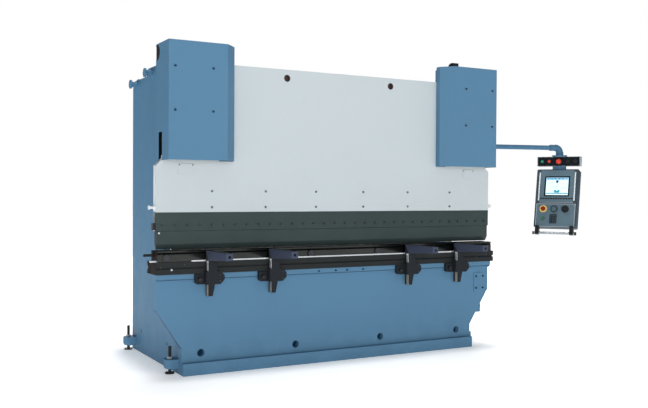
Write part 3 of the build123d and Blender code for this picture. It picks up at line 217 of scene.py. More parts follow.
def steel(name, colour, rough, metallic, stretch=(1, 1, 1), blotch=0.25, wear_and_highlight=0.5):
    """Machined steel: lines along the axis of least stretch, oil blotches and bright edges, partly
    rubbed wear and partly a painted highlight.
    """
    line_scale, line_depth, line_strength = 220.0, 0.0004, 0.12
    stain_scale, stain_tone = 4.5, 0.55
    wear_and_highlight_scale, least_wear_and_highlight, wear_and_highlight_tone = 30.0, 0.1, 2.4
    wear_and_highlight_radius, edge_radius = 0.003, 0.0015
    s = Shader(name)
    s.set(Metallic=metallic, Specular_IOR_Level=0.25)
    lines = s.noise(line_scale, 3.0, 0.6, stretch)
    base = s.mix(lines, shade(colour, 0.82), shade(colour, 1.18))
    stains = s.ranged(s.noise(stain_scale, 5.0, 0.6), 0.4, 0.7, 0.0, blotch)
    base = s.mix(stains, base, shade(colour, stain_tone))
    # Lighter edges: partly rubbed wear and partly a painted highlight along the edges.
    wear_and_highlight_spots = s.ranged(s.noise(wear_and_highlight_scale, 4.0), 0.35, 0.65, least_wear_and_highlight, wear_and_highlight)
    s.colour(s.mix(s.times(s.edge_share(wear_and_highlight_radius), wear_and_highlight_spots), base, shade(colour, wear_and_highlight_tone)))
    s.roughness(s.ranged(lines, 0.3, 0.7, rough - 0.07, rough + 0.09))
    s.bump(lines, line_depth, line_strength, edge_radius)
    return s.mat


def plastic(name, colour, rough=0.32, grain=0.08):
    """Moulded plastic with a fine grain."""
    tone_scale, gloss_scale = 14.0, 40.0
    grain_scale, grain_depth, edge_radius = 900.0, 0.0003, 0.0008
    s = Shader(name)
    s.set(Specular_IOR_Level=0.45)
    s.colour(s.mix(s.noise(tone_scale), shade(colour, 0.9), shade(colour, 1.08)))
    s.roughness(s.ranged(s.noise(gloss_scale), 0.3, 0.7, rough - 0.04, rough + 0.08))
    s.bump(s.noise(grain_scale, 2.0), grain_depth, grain, edge_radius)
    return s.mat


def lit(name, colour, strength):
    """Screen surface with its own, slightly uneven light."""
    glow_scale, glass_roughness = 30.0, 0.15
    s = Shader(name)
    s.set(Roughness=glass_roughness, Emission_Strength=strength)
    glow = s.mix(s.noise(glow_scale, 2.0), shade(colour, 0.92), shade(colour, 1.04))
    s.colour(glow)
    s.link(glow, s.bsdf.inputs["Emission Color"])
    return s.mat


blue = paint("blue_paint", rgb(91, 131, 160))
arm_blue = paint("arm_blue_paint", rgb(80, 118, 146))
pale = paint("pale_paint", rgb(198, 206, 209), rough=0.42, spread=0.02)
white_paint = paint("white_paint", rgb(228, 231, 232), rough=0.34, spread=0.02)
tool_steel = steel("dark_tool_steel", rgb(59, 72, 71), 0.5, 0.2, stretch=(0.03, 1, 1), wear_and_highlight=0.3)
black_steel = steel("black_steel", rgb(36, 39, 40), 0.5, 0.15, stretch=(0.03, 1, 1), wear_and_highlight=0.6)
die_steel = steel("die_steel", rgb(62, 64, 62), 0.16, 1.0, stretch=(0.02, 1, 1), blotch=0.4)
bright_steel = steel("bright_steel", rgb(222, 225, 227), 0.35, 0.6, stretch=(0.05, 1, 1))
handle_steel = steel("handle_steel", rgb(190, 193, 195), 0.32, 0.75)
turned_steel = steel("turned_steel", rgb(150, 152, 155), 0.32, 0.8)
dark_steel = steel("dark_steel", rgb(70, 72, 76), 0.36, 0.7)
chrome = steel("rod_chrome", rgb(225, 227, 230), 0.12, 1.0, blotch=0.05)
support_paint = paint("support_paint", rgb(70, 76, 94), rough=0.42, wear_and_highlight=0.7)
column_paint = paint("column_paint", rgb(41, 44, 48), rough=0.42, wear_and_highlight=0.7)
# Dark navy: the screws' own paint, and painted shade on the floors of the bed's blind holes.
navy_and_hole_shade = paint("navy_and_hole_shade", rgb(18, 52, 78))
# Darker blue that stands for shade on the bed plate's slanted, downward-facing edges.
underside_shade_blue = paint("edge_blue_paint", rgb(62, 98, 128))
bare_bore = steel("bare_bore", rgb(96, 78, 70), 0.5, 0.3)
brown_steel = steel("brown_steel", rgb(168, 158, 146), 0.45, 0.4, stretch=(1, 1, 0.05))
# Near black that stands for shade on the end faces of the bolster and die.
end_face_shade = paint("end_face_shade", rgb(27, 18, 17), rough=0.6, wear_and_highlight=0.5)
# Black that stands for shade: on the die's top under the punch and inside the cylinder covers.
gap_shade_black = paint("gap_shade_black", rgb(30, 30, 30), rough=0.9, wear_and_highlight=0.1)
screw_grey = steel("screw_grey", rgb(104, 112, 116), 0.45, 0.4)
console_paint = paint("console_paint", rgb(90, 112, 122), peel=0.3)
console_film = paint("console_film", rgb(98, 119, 129), peel=0.3, edge=0.00005)
console_frame = paint("console_frame", rgb(66, 78, 86), peel=0.3)
header_paint = paint("header_paint", rgb(24, 30, 34), peel=0.25)
light_grey = paint("light_grey_paint", rgb(178, 185, 190), rough=0.4, edge=0.0002)
cabinet_grey = paint("cabinet_grey", rgb(176, 181, 184), rough=0.42, peel=0.3)
motor_paint = paint("motor_paint", rgb(70, 84, 96), rough=0.4)
weld_paint = paint("weld_paint", rgb(86, 126, 158), peel=0.4)
black_plastic = plastic("black_plastic", rgb(24, 24, 26), rough=0.42, grain=0.2)
red_plastic = plastic("red_plastic", rgb(226, 62, 46))
dark_red_plastic = plastic("dark_red_plastic", rgb(142, 34, 20))
yellow_plastic = plastic("yellow_plastic", rgb(248, 212, 116))
green_plastic = plastic("green_plastic", rgb(40, 140, 104))
panel_green = plastic("panel_green_plastic", rgb(66, 128, 84))
sight_glass = plastic("sight_glass", rgb(196, 160, 70), rough=0.12, grain=0.02)
screen_white = lit("screen_white", rgb(214, 236, 248), 0.55)
screen_sky = lit("screen_sky", rgb(120, 190, 228), 0.4)
screen_teal = lit("screen_teal", rgb(58, 160, 178), 0.3)
screen_navy = lit("screen_navy", rgb(34, 82, 112), 0.15)

looks = {
    blue: (
        "left_side_frame", "right_side_frame", "lifting_bollards", "rear_tie_beam", "bed_plate",
        "bed_base_bar", "bed_top_rail", "bed_corner_plate", "pedal_socket_box",
        "left_cylinder_cover", "right_cylinder_cover", "oil_tank", "gauge_slideways",
    ),
    arm_blue: ("pendant_arm",),
    pale: ("ram_plate", "ram_access_plates"),
    white_paint: ("ram_side_pins",),
    tool_steel: ("clamp_bar", "punch"),
    black_steel: ("bolster", "crowning_rod", "levelling_screws"),
    navy_and_hole_shade: ("bed_fasteners", "cover_screws"),
    screw_grey: ("ram_screws",),
    die_steel: ("die_block",),
    bright_steel: ("ground_strip",),
    handle_steel: ("console_handle",),
    turned_steel: (
        "ram_guides", "cover_brackets", "pressure_pipes", "gauge_finger_left",
        "gauge_finger_right",
    ),
    dark_steel: ("clamp_bolts", "die_clamp_screws"),
    chrome: ("piston_rods",),
    support_paint: supports,
    console_frame: ("console_housing", "console_ring_dial"),
    header_paint: ("header_box",),
    screen_white: ("console_screen",),
    cabinet_grey: ("electrical_cabinet", "cabinet_door"),
    light_grey: ("gauge_beam",),
    motor_paint: ("pump_motor", "hydraulic_cylinders"),
    black_plastic: (
        "ram_end_sensor", "cover_lead", "tank_filler_cap", "header_mode_selector",
        "header_key_selector", "console_round_knob",
    ),
    red_plastic: ("header_stop_button", "header_mushroom"),
    dark_red_plastic: ("console_estop",),
    green_plastic: ("header_start_button",),
    panel_green: ("console_green_button",),
}
for look, names in looks.items():
    for name in names:
        nodes[name].data.materials.clear()
        nodes[name].data.materials.append(look)


def panel(face, turn):
    """Frame of a panel of the pendant head: x right, y up the panel, z out of it."""
    elbow = Matrix.Translation((elbow_x * millimetre, 0, 0))
    yaw = Matrix.Rotation(math.radians(head_yaw), 4, "Z")
    origin = Matrix.Translation((0, face[0] * millimetre, face[1] * millimetre))
    return elbow @ yaw @ origin @ Matrix.Rotation(math.radians(turn), 4, "X")


header_panel = panel(header_face, 90)
console_panel = panel(console_face, 90 - console_tilt)


# Faces of the solids that get a second material
def second_look(node, look, chosen, place=Matrix()):
    """Look for faces whose middle, in millimetres of a place, and normal pass a test."""
    mesh = nodes[node].data
    mesh.materials.append(look)
    to_place = place.inverted()
    for face in mesh.polygons:
        if chosen((to_place @ face.center) / millimetre, face.normal):
            face.material_index = len(mesh.materials) - 1


header_top = 1780.0
console_top, console_bottom, raised_strips_low, raised = 1.0, -585.0, -330.0, 1.0
handle_bar_end = 193.0
nut_low, nut_high = 114.0, 134.0
die_groove_low, die_half_depth = 920.0, 60.0
bed_holes_top, bed_hole_end = 200.0, (15.0, 17.0)
lifting_hole_x, lifting_hole_reach, lifting_holes_low = 502.0, 30.0, 2300.0
lifting_hole_depth = (-29.0, 15.0)
bolster_end, tool_end, punch_end = 1612.0, 1598.0, 1590.0
column_top = 886.5
slanted_across, slanted_down = 0.3, -0.2
cover_middle = (1270, -40, 2100)


def in_lifting_hole(p, _):
    deep = lifting_hole_depth[0] < p.y < lifting_hole_depth[1]
    return p.z > lifting_holes_low and deep and abs(abs(p.x) - lifting_hole_x) < lifting_hole_reach


def on_slanted_edge(p, normal):
    slanted = abs(normal.x) > slanted_across and normal.z < slanted_down
    return slanted and p.z > bed_holes_top


second_look("header_box", arm_blue, lambda p, _: p.z > header_top)
second_look("console_housing", arm_blue, lambda p, _: p.y > console_top, console_panel)
second_look("console_housing", black_plastic, lambda p, _: p.y < console_bottom, console_panel)
second_look("console_housing", white_paint,
            lambda p, _: p.z > raised and p.y > raised_strips_low, console_panel)
second_look("console_handle", black_plastic, lambda p, _: abs(p.x) > handle_bar_end, console_panel)
second_look("levelling_screws", turned_steel, lambda p, _: nut_low < p.z < nut_high)
# Painted shade: the die's top and groove are black, for the dark gap under the punch.
second_look("die_block", gap_shade_black,
            lambda p, _: p.z > die_groove_low and abs(p.y) < die_half_depth)
# Painted shade: the floors of the bed's blind holes are dark navy so they look deep.
second_look("bed_plate", navy_and_hole_shade,
            lambda p, _: p.z < bed_holes_top and bed_hole_end[0] < p.y < bed_hole_end[1])
second_look("ram_plate", bare_bore, in_lifting_hole)
# Painted shade: the end faces of bolster, die, clamp bar and punch are darker than their fronts.
second_look("bolster", end_face_shade, lambda p, _: abs(p.x) > bolster_end)
second_look("die_block", end_face_shade, lambda p, _: abs(p.x) > tool_end)
second_look("clamp_bar", black_steel, lambda p, _: abs(p.x) > tool_end)
second_look("punch", black_steel, lambda p, _: abs(p.x) > punch_end)
second_look("ram_plate", white_paint, lambda p, _: abs(p.x) > tool_end)
for support in supports:
    second_look(support, column_paint, lambda p, _: p.z < column_top)
# Painted shade: the bed plate's slanted, downward-facing edges are a darker blue.
second_look("bed_plate", underside_shade_blue, on_slanted_edge)
# Painted shade: the inner faces of the cylinder covers are black, so their slots look dark.
for cover, side in (("left_cylinder_cover", -1), ("right_cylinder_cover", 1)):
    inside = Vector((side * cover_middle[0], *cover_middle[1:]))
    second_look(cover, gap_shade_black, lambda p, normal: normal.dot(inside - p) > 0)


# Piece building
class Piece:
    """A mesh in millimetres that becomes one object riding on a body."""

    def __init__(self, name, look, body, place=Matrix()):
        self.name = name
        self.look = look
        self.body = body
        self.place = place
        self.mesh = bmesh.new()

    def box(self, low, high, bevel):
        corners = bmesh.ops.create_cube(self.mesh, size=1.0)["verts"]
        for corner in corners:
            share = corner.co + Vector((0.5, 0.5, 0.5))
            corner.co = [a + (b - a) * s for a, b, s in zip(low, high, share)]
        edges = list({edge for corner in corners for edge in corner.link_edges})
        bmesh.ops.bevel(
            self.mesh, geom=edges, offset=bevel, segments=2, affect="EDGES", profile=0.5,
        )

    def join(self, lower, upper):
        """Faces between two loops of equal length."""
        for i in range(len(lower)):
            j = (i + 1) % len(lower)
            self.mesh.faces.new((lower[i], lower[j], upper[j], upper[i]))

    def turned(self, start, axis, profile, sides, ring=False):
        """Turn (radius, height) pairs round an axis through start; a ring's profile is closed."""
        swing = Vector((0, 0, 1)).rotation_difference(Vector(axis))
        loops = []
        for radius, height in profile:
            loop = []
            for i in range(sides):
                angle = 2 * math.pi * i / sides
                spot = Vector((radius * math.cos(angle), radius * math.sin(angle), height))
                loop.append(self.mesh.verts.new(swing @ spot + Vector(start)))
            loops.append(loop)
        pairs = list(zip(loops, loops[1:]))
        if ring:
            pairs.append((loops[-1], loops[0]))
        else:
            self.mesh.faces.new(loops[0])
            self.mesh.faces.new(loops[-1])
        for lower, upper in pairs:
            self.join(lower, upper)

    def disc(self, start, axis, diameter, height, bevel=0.5, sides=24):
        radius = diameter / 2
        profile = [(radius, 0), (radius, height - bevel), (radius - bevel, height)]
        self.turned(start, axis, profile, sides)

    def collar(self, start, axis, outer, inner, height, bevel=0.5, sides=32):
        """Ring with bevelled outer and inner top edges."""
        far, near = outer / 2, inner / 2
        profile = [
            (near, 0), (far, 0), (far, height - bevel), (far - bevel, height),
            (near + bevel, height), (near, height - bevel),
        ]
        self.turned(start, axis, profile, sides, ring=True)

    def socket_screw(self, start, axis, diameter, height):
        """Round head with a deep socket."""
        sides = 18
        radius = diameter / 2
        rim, socket = 0.12 * diameter, 0.5 * radius
        profile = [
            (radius, 0), (radius, height - rim), (radius - rim, height),
            (socket, height), (socket, 0.4 * height),
        ]
        self.turned(start, axis, profile, sides)

    def rim(self, outer, inner, low, high):
        """Flat frame in the x-y plane; rectangles are (x low, x high, y low, y high)."""
        loops = []
        for rectangle, z in ((inner, low), (outer, low), (outer, high), (inner, high)):
            x_low, x_high, y_low, y_high = rectangle
            corners = ((x_low, y_low), (x_high, y_low), (x_high, y_high), (x_low, y_high))
            loops.append([self.mesh.verts.new((x, y, z)) for x, y in corners])
        for lower, upper in zip(loops, loops[1:] + loops[:1]):
            self.join(lower, upper)

    def slab(self, outline, along, thickness):
        """A flat outline of 3-D points, thickened along a direction."""
        base = self.mesh.faces.new([self.mesh.verts.new(point) for point in outline])
        grown = bmesh.ops.extrude_face_region(self.mesh, geom=[base])["geom"]
        moved = [v for v in grown if isinstance(v, bmesh.types.BMVert)]
        bmesh.ops.translate(self.mesh, vec=Vector(along) * thickness, verts=moved)

    def bead(self, path, radius, closed=False):
        """Weld bead along straight runs between points, with the ripple of its drops."""
        ripple_step, ripple, sides = 5.0, 0.12, 8
        points = list(path) + ([path[0]] if closed else [])
        for start, end in zip(points, points[1:]):
            start, end = Vector(start), Vector(end)
            count = max(2, int((end - start).length / ripple_step))
            height = (end - start).length / count
            profile = [(radius * (1 + ripple * (i % 2)), i * height) for i in range(count + 1)]
            self.turned(start, end - start, profile, sides)

    def end_bead(self, x, low, high):
        """Weld bead round the end of a bar along x; low and high are (y, z)."""
        (y_low, z_low), (y_high, z_high) = low, high
        corners = ((y_low, z_low), (y_high, z_low), (y_high, z_high), (y_low, z_high))
        self.bead([(x, y, z) for y, z in corners], weld_radius, closed=True)

    def done(self):
        smooth_angle = 35
        bmesh.ops.recalc_face_normals(self.mesh, faces=self.mesh.faces)
        self.mesh.transform(self.place @ Matrix.Scale(millimetre, 4))
        mesh = bpy.data.meshes.new(self.name)
        self.mesh.to_mesh(mesh)
        self.mesh.free()
        mesh.materials.append(self.look)
        mesh.shade_smooth()
        mesh.set_sharp_from_angle(angle=math.radians(smooth_angle))
        piece = bpy.data.objects.new(self.name, mesh)
        scene.collection.objects.link(piece)
        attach(piece, self.body)


def span(node):
    """Lowest and highest corner of a node at rest, in millimetres."""
    low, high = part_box(node)
    return Vector(low) / millimetre, Vector(high) / millimetre


def even(low, high, count):
    return [low + (high - low) * i / (count - 1) for i in range(count)]


def boxes(name, look, body, corners, bevel, place=Matrix()):
    """One piece of boxes, each given by its lowest and highest corner."""
    piece = Piece(name, look, body, place)
    for low, high in corners:
        piece.box(low, high, bevel)
    piece.done()


def screws(name, look, body, spots, axis, diameter, height, place=Matrix()):
    piece = Piece(name, look, body, place)
    for spot in spots:
        piece.socket_screw(spot, axis, diameter, height)
    piece.done()


def turning(name, look, body, start, axis, profile, sides):
    """One turned piece."""
    piece = Piece(name, look, body)
    piece.turned(start, axis, profile, sides)
    piece.done()


# Ram: sockets of its screws, trim and screws of the access plates, seam and stop pin of the punch
def dress_ram():
    low, high = span("ram_screws")
    head_radius = 9.0
    columns = even(low.x + head_radius, high.x - head_radius, 6)
    heights = (low.z + head_radius, high.z - head_radius)
    screws("ram_screw_sockets", screw_grey, "ram",
           [(x, low.y, z) for x in columns for z in heights], to_front, 10.0, 0.8)

    low, high = span("ram_access_plates")
    width, screw_inset = 128.0, 11.0
    trim, trim_height = 1.6, 1.2
    face = high.y - trim_height
    bottom, top = low.z - trim, high.z + trim
    corners, spots = [], []
    for left in (low.x, high.x - width):
        right = left + width
        corners += [
            ((left - trim, face, bottom), (left, high.y, top)),
            ((right, face, bottom), (right + trim, high.y, top)),
            ((left, face, bottom), (right, high.y, low.z)),
            ((left, face, high.z), (right, high.y, top)),
        ]
        for x in (left + screw_inset, right - screw_inset):
            spots.append((x, low.y, high.z - screw_inset))
    boxes("access_plate_seams", light_grey, "ram", corners, thin_edge)
    screws("access_plate_screws", black_steel, "ram", spots, to_front, 10.0, 2.2)

    low, high = span("punch")
    seam_low, seam_high, seam_height, seam_edge = 1109.5, 1113.5, 0.6, 0.2
    boxes("punch_seam", black_steel, "ram",
          [((low.x, low.y - seam_height, seam_low), (high.x, low.y, seam_high))], seam_edge)
    stop_inset, stop_drop = 18.0, 46.0
    stop = Piece("punch_stop_pin", white_paint, "ram")
    stop.disc((low.x + stop_inset, low.y, high.z - stop_drop), to_front, 14.0, 5.0, 1.5)
    stop.done()


# Bed: screws and nipple of the bolster, threads of the levelling screws, weld beads
def dress_bed():
    front = span("bolster")[0].y
    spots = [(-1580, 842), (-1392, 861), (1254, 809), (1373, 863), (1420, 830), (1533, 852)]
    screws("bolster_screws", dark_steel, "frame",
           [(x, front, z) for x, z in spots], to_front, 15.0, 1.5)
    nipple_x, nipple_z = -1494, 822
    turning("bolster_grease_nipple", bright_steel, "frame", (nipple_x, front, nipple_z), to_front,
            [(8, 0), (8, 3), (5, 4), (4, 7), (5, 9), (3, 11)], 18)

    threads = Piece("levelling_screw_threads", black_steel, "frame")
    low, high = span("levelling_screws")
    pad_radius, stud_radius = 36.0, 12.0
    thread_low, pitch, root, crest = 133.2, 3.5, 0.1, 0.9
    profile = []
    for i in range(int((high.z - thread_low) / pitch)):
        profile += [(stud_radius + root, i * pitch), (stud_radius + crest, (i + 0.5) * pitch)]
    for x in (low.x + pad_radius, high.x - pad_radius):
        for y in (low.y + pad_radius, high.y - pad_radius):
            threads.turned((x, y, thread_low), upward, profile, 20)
    threads.done()

    beads = Piece("foot_weld_beads", weld_paint, "frame")
    lug_low, lug_top, lug_length = 58.0, 115.0, 114.0
    lug_starts, lug_bead, bar_bead = (35.0, 1178.0), 2.6, 3.0
    low, high = span("bed_base_bar")
    for x in (low.x, high.x):
        for y in lug_starts:
            end = y + lug_length
            run = [(y, lug_low), (y, lug_top), (end, lug_top), (end, lug_low)]
            beads.bead([(x, *spot) for spot in run], lug_bead)
    beads.bead([(low.x, high.y, high.z), (high.x, high.y, high.z)], bar_bead)
    beads.done()


# Front supports: two side plates, clamping knob, screws and wear strip of each
def dress_support(name):
    column_front, column_low, column_high = -150.0, 615.0, 886.0
    boss_low, boss_high = 705.0, 805.0
    carriage_front, carriage_middle = -94.0, 742.0
    arm_tip, arm_root, arm_top, arm_width = -502.0, -92.0, 963.0, 57.0
    left_to_right_end = 132.0
    left = span(name)[1].x - left_to_right_end

    plate, depth, gap, plate_edge = 1.5, 34.0, 2.0, 0.4
    for part, look, low, high in (
        ("lower", brown_steel, column_low, boss_low),
        ("upper", bright_steel, boss_high, column_high),
    ):
        corner = (left - plate, column_front + gap, low + gap)
        far_corner = (left, column_front + depth, high - gap)
        boxes(f"{name}_{part}_side_plate", look, name, [(corner, far_corner)], plate_edge)

    knob_shift = 50.0
    turning(f"{name}_knob", black_plastic, name,
            (left - knob_shift, carriage_front, carriage_middle), to_front,
            [(9, 0), (9, 6), (15, 8), (17, 11), (17, 22), (15, 25), (6, 26)], 28)

    screw_shift, screw_heights = 98.0, (730.0, 780.0)
    screws(f"{name}_screws", dark_steel, name,
           [(left + screw_shift, column_front, z) for z in screw_heights], to_front, 14.0, 5.0)

    inset, strip = 9.0, 0.8
    corner = (left + inset, arm_tip + inset, arm_top)
    far_corner = (left + arm_width - inset, arm_root - inset, arm_top + strip)
    boxes(f"{name}_wear_strip", black_plastic, name, [(corner, far_corner)], thin_edge)


# Pendant: header with its end plates and collars, console with panels, keys, screen and rings
def dress_header():
    half_width, half_height, depth = 209.0, 47.5, 78.0
    plate, end_inset = 0.8, 2

    def inset(x, y):
        return -half_width + x, half_width - x, -half_height + y, half_height - y

    ends = Piece("header_end_plates", light_grey, "head", header_panel)
    for low, high in ((-half_width - plate, -half_width), (half_width, half_width + plate)):
        ends.box((low, -half_height + plate, end_inset - depth),
                 (high, half_height - plate, -end_inset), thin_edge)
    ends.rim(inset(1, 1), inset(5, 3), 0, plate)
    ends.done()

    collars = Piece("header_collars", dark_steel, "head", header_panel)
    wider, gap, collar_height = 8, 1.2, 2.6
    for x, cap in ((-158.4, 27.0), (-89.9, 27.0), (2.1, 50.0), (89.9, 28.0), (162.2, 28.0)):
        collars.collar((x, 0, 0), out_of_panel, cap + wider, cap + gap, collar_height)
    collars.done()

    back = -depth - plate
    boxes("header_back_plate", header_paint, "head",
          [((-194, -40, back), (194, 40, -depth))], thin_edge, header_panel)
    screws("header_back_screws", dark_steel, "head",
           [(x, y, back) for x in (-184, 184) for y in (-30, 30)],
           into_panel, 8.0, 2.0, header_panel)


def dress_console():
    film, thin_film, film_edge = 0.8, 0.2, 0.06
    key_edge = 0.8
    upper = Piece("console_upper_panel", console_film, "head", console_panel)
    upper_outline, screen_recess = (-162, 162, -337, -10), (-122.5, 122.5, -274, -71)
    upper.rim(upper_outline, screen_recess, 0, film)
    upper.done()

    bezel = Piece("screen_bezel", header_paint, "head", console_panel)
    bezel_outer, bezel_inner = (-121.9, 121.9, -273.4, -71.6), (-108.7, 108.7, -260.2, -84.8)
    bezel_low, bezel_high = -5.8, -0.4
    bezel.rim(bezel_outer, bezel_inner, bezel_low, bezel_high)
    bezel.done()

    boxes("console_lower_panel", console_film, "head",
          [((-184, -574, 0), (184, -352, thin_film))], film_edge, console_panel)

    lines = Piece("console_border_lines", light_grey, "head", console_panel)
    border, line_top, line_edge = 1.0, 1.4, 0.2
    lines.rim((-189, 189, -579, -347), (-184, 184, -574, -352), 0, border)
    lines.box((-162, -335, film), (162, -332, line_top), line_edge)
    lines.done()

    keys = Piece("console_keys", black_plastic, "head", console_panel)
    key_half, key_top, pad_top, pad_edge = 9, 3.0, 1.6, 0.5
    for x in even(-148, 148, 13):
        keys.box((x - key_half, -302, film), (x + key_half, -288, key_top), key_edge)
    keys.box((-54, -545, thin_film), (17, -452, pad_top), pad_edge)
    keys.done()

    pad_key_half, pad_key_top = (9, 8), 3.4
    corners = []
    for x in even(-42, 5, 3):
        for y in even(-533, -464, 4):
            corners.append((
                (x - pad_key_half[0], y - pad_key_half[1], pad_top),
                (x + pad_key_half[0], y + pad_key_half[1], pad_key_top),
            ))
    boxes("console_keypad_keys", console_frame, "head", corners, key_edge, console_panel)

    upper_row, lower_row, left_column, dial_x, knob_x = -400, -495, -119.5, -14.3, 93.0
    for name, look, x, y, outer, inner, height in (
        ("estop_collar", yellow_plastic, left_column, upper_row, 72.0, 46.0, 5.0),
        ("knob_collar", black_plastic, knob_x, upper_row, 72.0, 64.0, 3.0),
        ("dial_collar", console_frame, dial_x, upper_row, 74.0, 66.0, 2.0),
        ("green_collar", dark_steel, left_column, lower_row, 36.0, 28.4, 2.6),
    ):
        collar = Piece(name, look, "head", console_panel)
        collar.collar((x, y, thin_film), out_of_panel, outer, inner, height, 1.0)
        collar.done()

    dial_face = 9.3
    inlay = Piece("dial_inlay", console_paint, "console_ring_dial", console_panel)
    inlay.disc((dial_x, upper_row, dial_face), out_of_panel, 45.0, 1.2)
    inlay.done()

    back = Piece("console_back_plate", console_frame, "head", console_panel)
    housing_back, plate_back, rib_back, rib_half = -95, -96.6, -98.2, 3
    plate_edge, rib_edge = 0.5, 0.7
    back.box((-180, -564, plate_back), (180, -120, housing_back), plate_edge)
    for y in even(-524, -424, 6):
        back.box((-90, y - rib_half, rib_back), (90, y + rib_half, plate_back), rib_edge)
    back.done()
    screws("console_back_screws", dark_steel, "head",
           [(x, y, plate_back) for x in (-168, 168) for y in (-552, -342, -132)],
           into_panel, 9.0, 2.2, console_panel)


def dress_screen():
    """Plain bending picture: bars above and below, punch, sheet and die between."""
    face, film, film_edge = -1.0, 0.25, 0.08

    def tile(piece, left, right, low, high):
        piece.box((left, low, face), (right, high, face + film), film_edge)

    def shape(piece, outline):
        piece.slab([(x, y, face) for x, y in outline], out_of_panel, film)

    sky = Piece("screen_upper_bar", screen_sky, "head", console_panel)
    tile(sky, -106, 106, -106, -87)
    tile(sky, 42, 100, -190, -186)
    sky.done()
    teal = Piece("screen_lower_bar", screen_teal, "head", console_panel)
    tile(teal, -106, 106, -248, -239)
    shape(teal, (
        (-26, -236), (-26, -208), (-12, -208), (0, -222), (12, -208), (26, -208), (26, -236),
    ))
    teal.done()
    navy = Piece("screen_punch_picture", screen_navy, "head", console_panel)
    shape(navy, ((-12, -112), (12, -112), (12, -128), (3, -140), (-3, -140), (-12, -128)))
    tile(navy, -1, 1, -206, -142)
    for x in even(-90, 90, 6):
        tile(navy, x - 11, x + 11, -101, -92)
    navy.done()


# Right side: louvres, latch and hinges of the cabinet's door, cable glands under the cabinet
def dress_cabinet():
    low, high = span("cabinet_door")
    lock_height = 14.0
    front = high.x - lock_height
    hood = Piece("cabinet_louvres", cabinet_grey, "door")
    reach, lift = 7.0, 13.0
    louvre_start, louvre_length = 740.0, 240.0
    for z in even(low.z + 90, low.z + 290, 11):
        outline = (
            (front, z), (front + reach, z),
            (front + reach * 0.6, z + lift * 0.7), (front, z + lift),
        )
        hood.slab([(x, louvre_start, height) for x, height in outline], to_rear, louvre_length)
    hood.done()

    latch = Piece("cabinet_latch", black_plastic, "door")
    latch_y, latch_half, grip_height, grip_edge = 610, 9, 9, 3.0
    middle = (low.z + high.z) / 2
    latch.box((high.x, latch_y - latch_half, middle - 45),
              (high.x + grip_height, latch_y + latch_half, middle + 20), grip_edge)
    latch.disc((high.x, latch_y, middle), to_right, 26.0, 11.0, 2.0)
    latch.done()

    knuckles = Piece("cabinet_hinges", dark_steel, "door")
    hinge_axis = (low.x + 10.0, high.y - 8.0)
    for z in even(low.z + 100, high.z - 160, 3):
        knuckles.collar((*hinge_axis, z), upward, 22.0, 16.4, 60.0, 1.5)
    knuckles.done()

    glands = Piece("cabinet_glands", black_plastic, "frame")
    low, high = span("electrical_cabinet")
    gland_inset, end_inset, nut = 110, 120, 10
    for y in even(low.y + end_inset, high.y - end_inset, 5):
        x = low.x + gland_inset
        glands.disc((x, y, low.z), downward, 34.0, 10.0, 1.0, 6)
        glands.turned((x, y, low.z - nut), downward, [(14, 0), (14, 8), (10, 14), (6, 15)], 20)
    glands.done()


# Rear: tank, motor, pipes and cylinders
def dress_tank():
    low, high = span("oil_tank")
    hatch_half, hatch_front, hatch_rear, hatch_height, hatch_edge = 170, 740, 980, 8, 2.0
    hatch_top = high.z + hatch_height
    corners, spots = [], []
    for middle in (-300.0, 930.0):
        corners.append((
            (middle - hatch_half, hatch_front, high.z),
            (middle + hatch_half, hatch_rear, hatch_top),
        ))
        spots += [(middle + x, y, hatch_top) for x in (-155, -52, 52, 155) for y in (755, 965)]
        spots += [(middle + x, 860, hatch_top) for x in (-155, 155)]
    boxes("tank_hatches", blue, "frame", corners, hatch_edge)
    screws("tank_hatch_screws", dark_steel, "frame", spots, upward, 18.0, 9.0)

    gauge_x, case_half, glass_half, case_height, glass_height = -1180.0, 16, 6, 12, 17
    case_back, case_front = high.y, high.y + case_height
    boxes("sight_gauge_case", black_plastic, "frame", [(
        (gauge_x - case_half, case_back, low.z + 150),
        (gauge_x + case_half, case_front, low.z + 340),
    )], 3.0)
    boxes("sight_gauge_glass", sight_glass, "frame", [(
        (gauge_x - glass_half, case_front, low.z + 175),
        (gauge_x + glass_half, high.y + glass_height, low.z + 315),
    )], 2.0)
    drain_height, washer = 40, 10
    plug = Piece("tank_drain_plug", turned_steel, "frame")
    plug.disc((0, high.y, low.z + drain_height), to_rear, 46.0, 10.0, 1.0, 6)
    plug.disc((0, high.y + washer, low.z + drain_height), to_rear, 30.0, 8.0, 1.5)
    plug.done()

    beads = Piece("tank_weld_beads", weld_paint, "frame")
    for node in ("oil_tank", "rear_tie_beam"):
        low, high = span(node)
        for x in (low.x, high.x):
            beads.end_bead(x, (low.y, low.z), (high.y, high.z))
    beads.done()


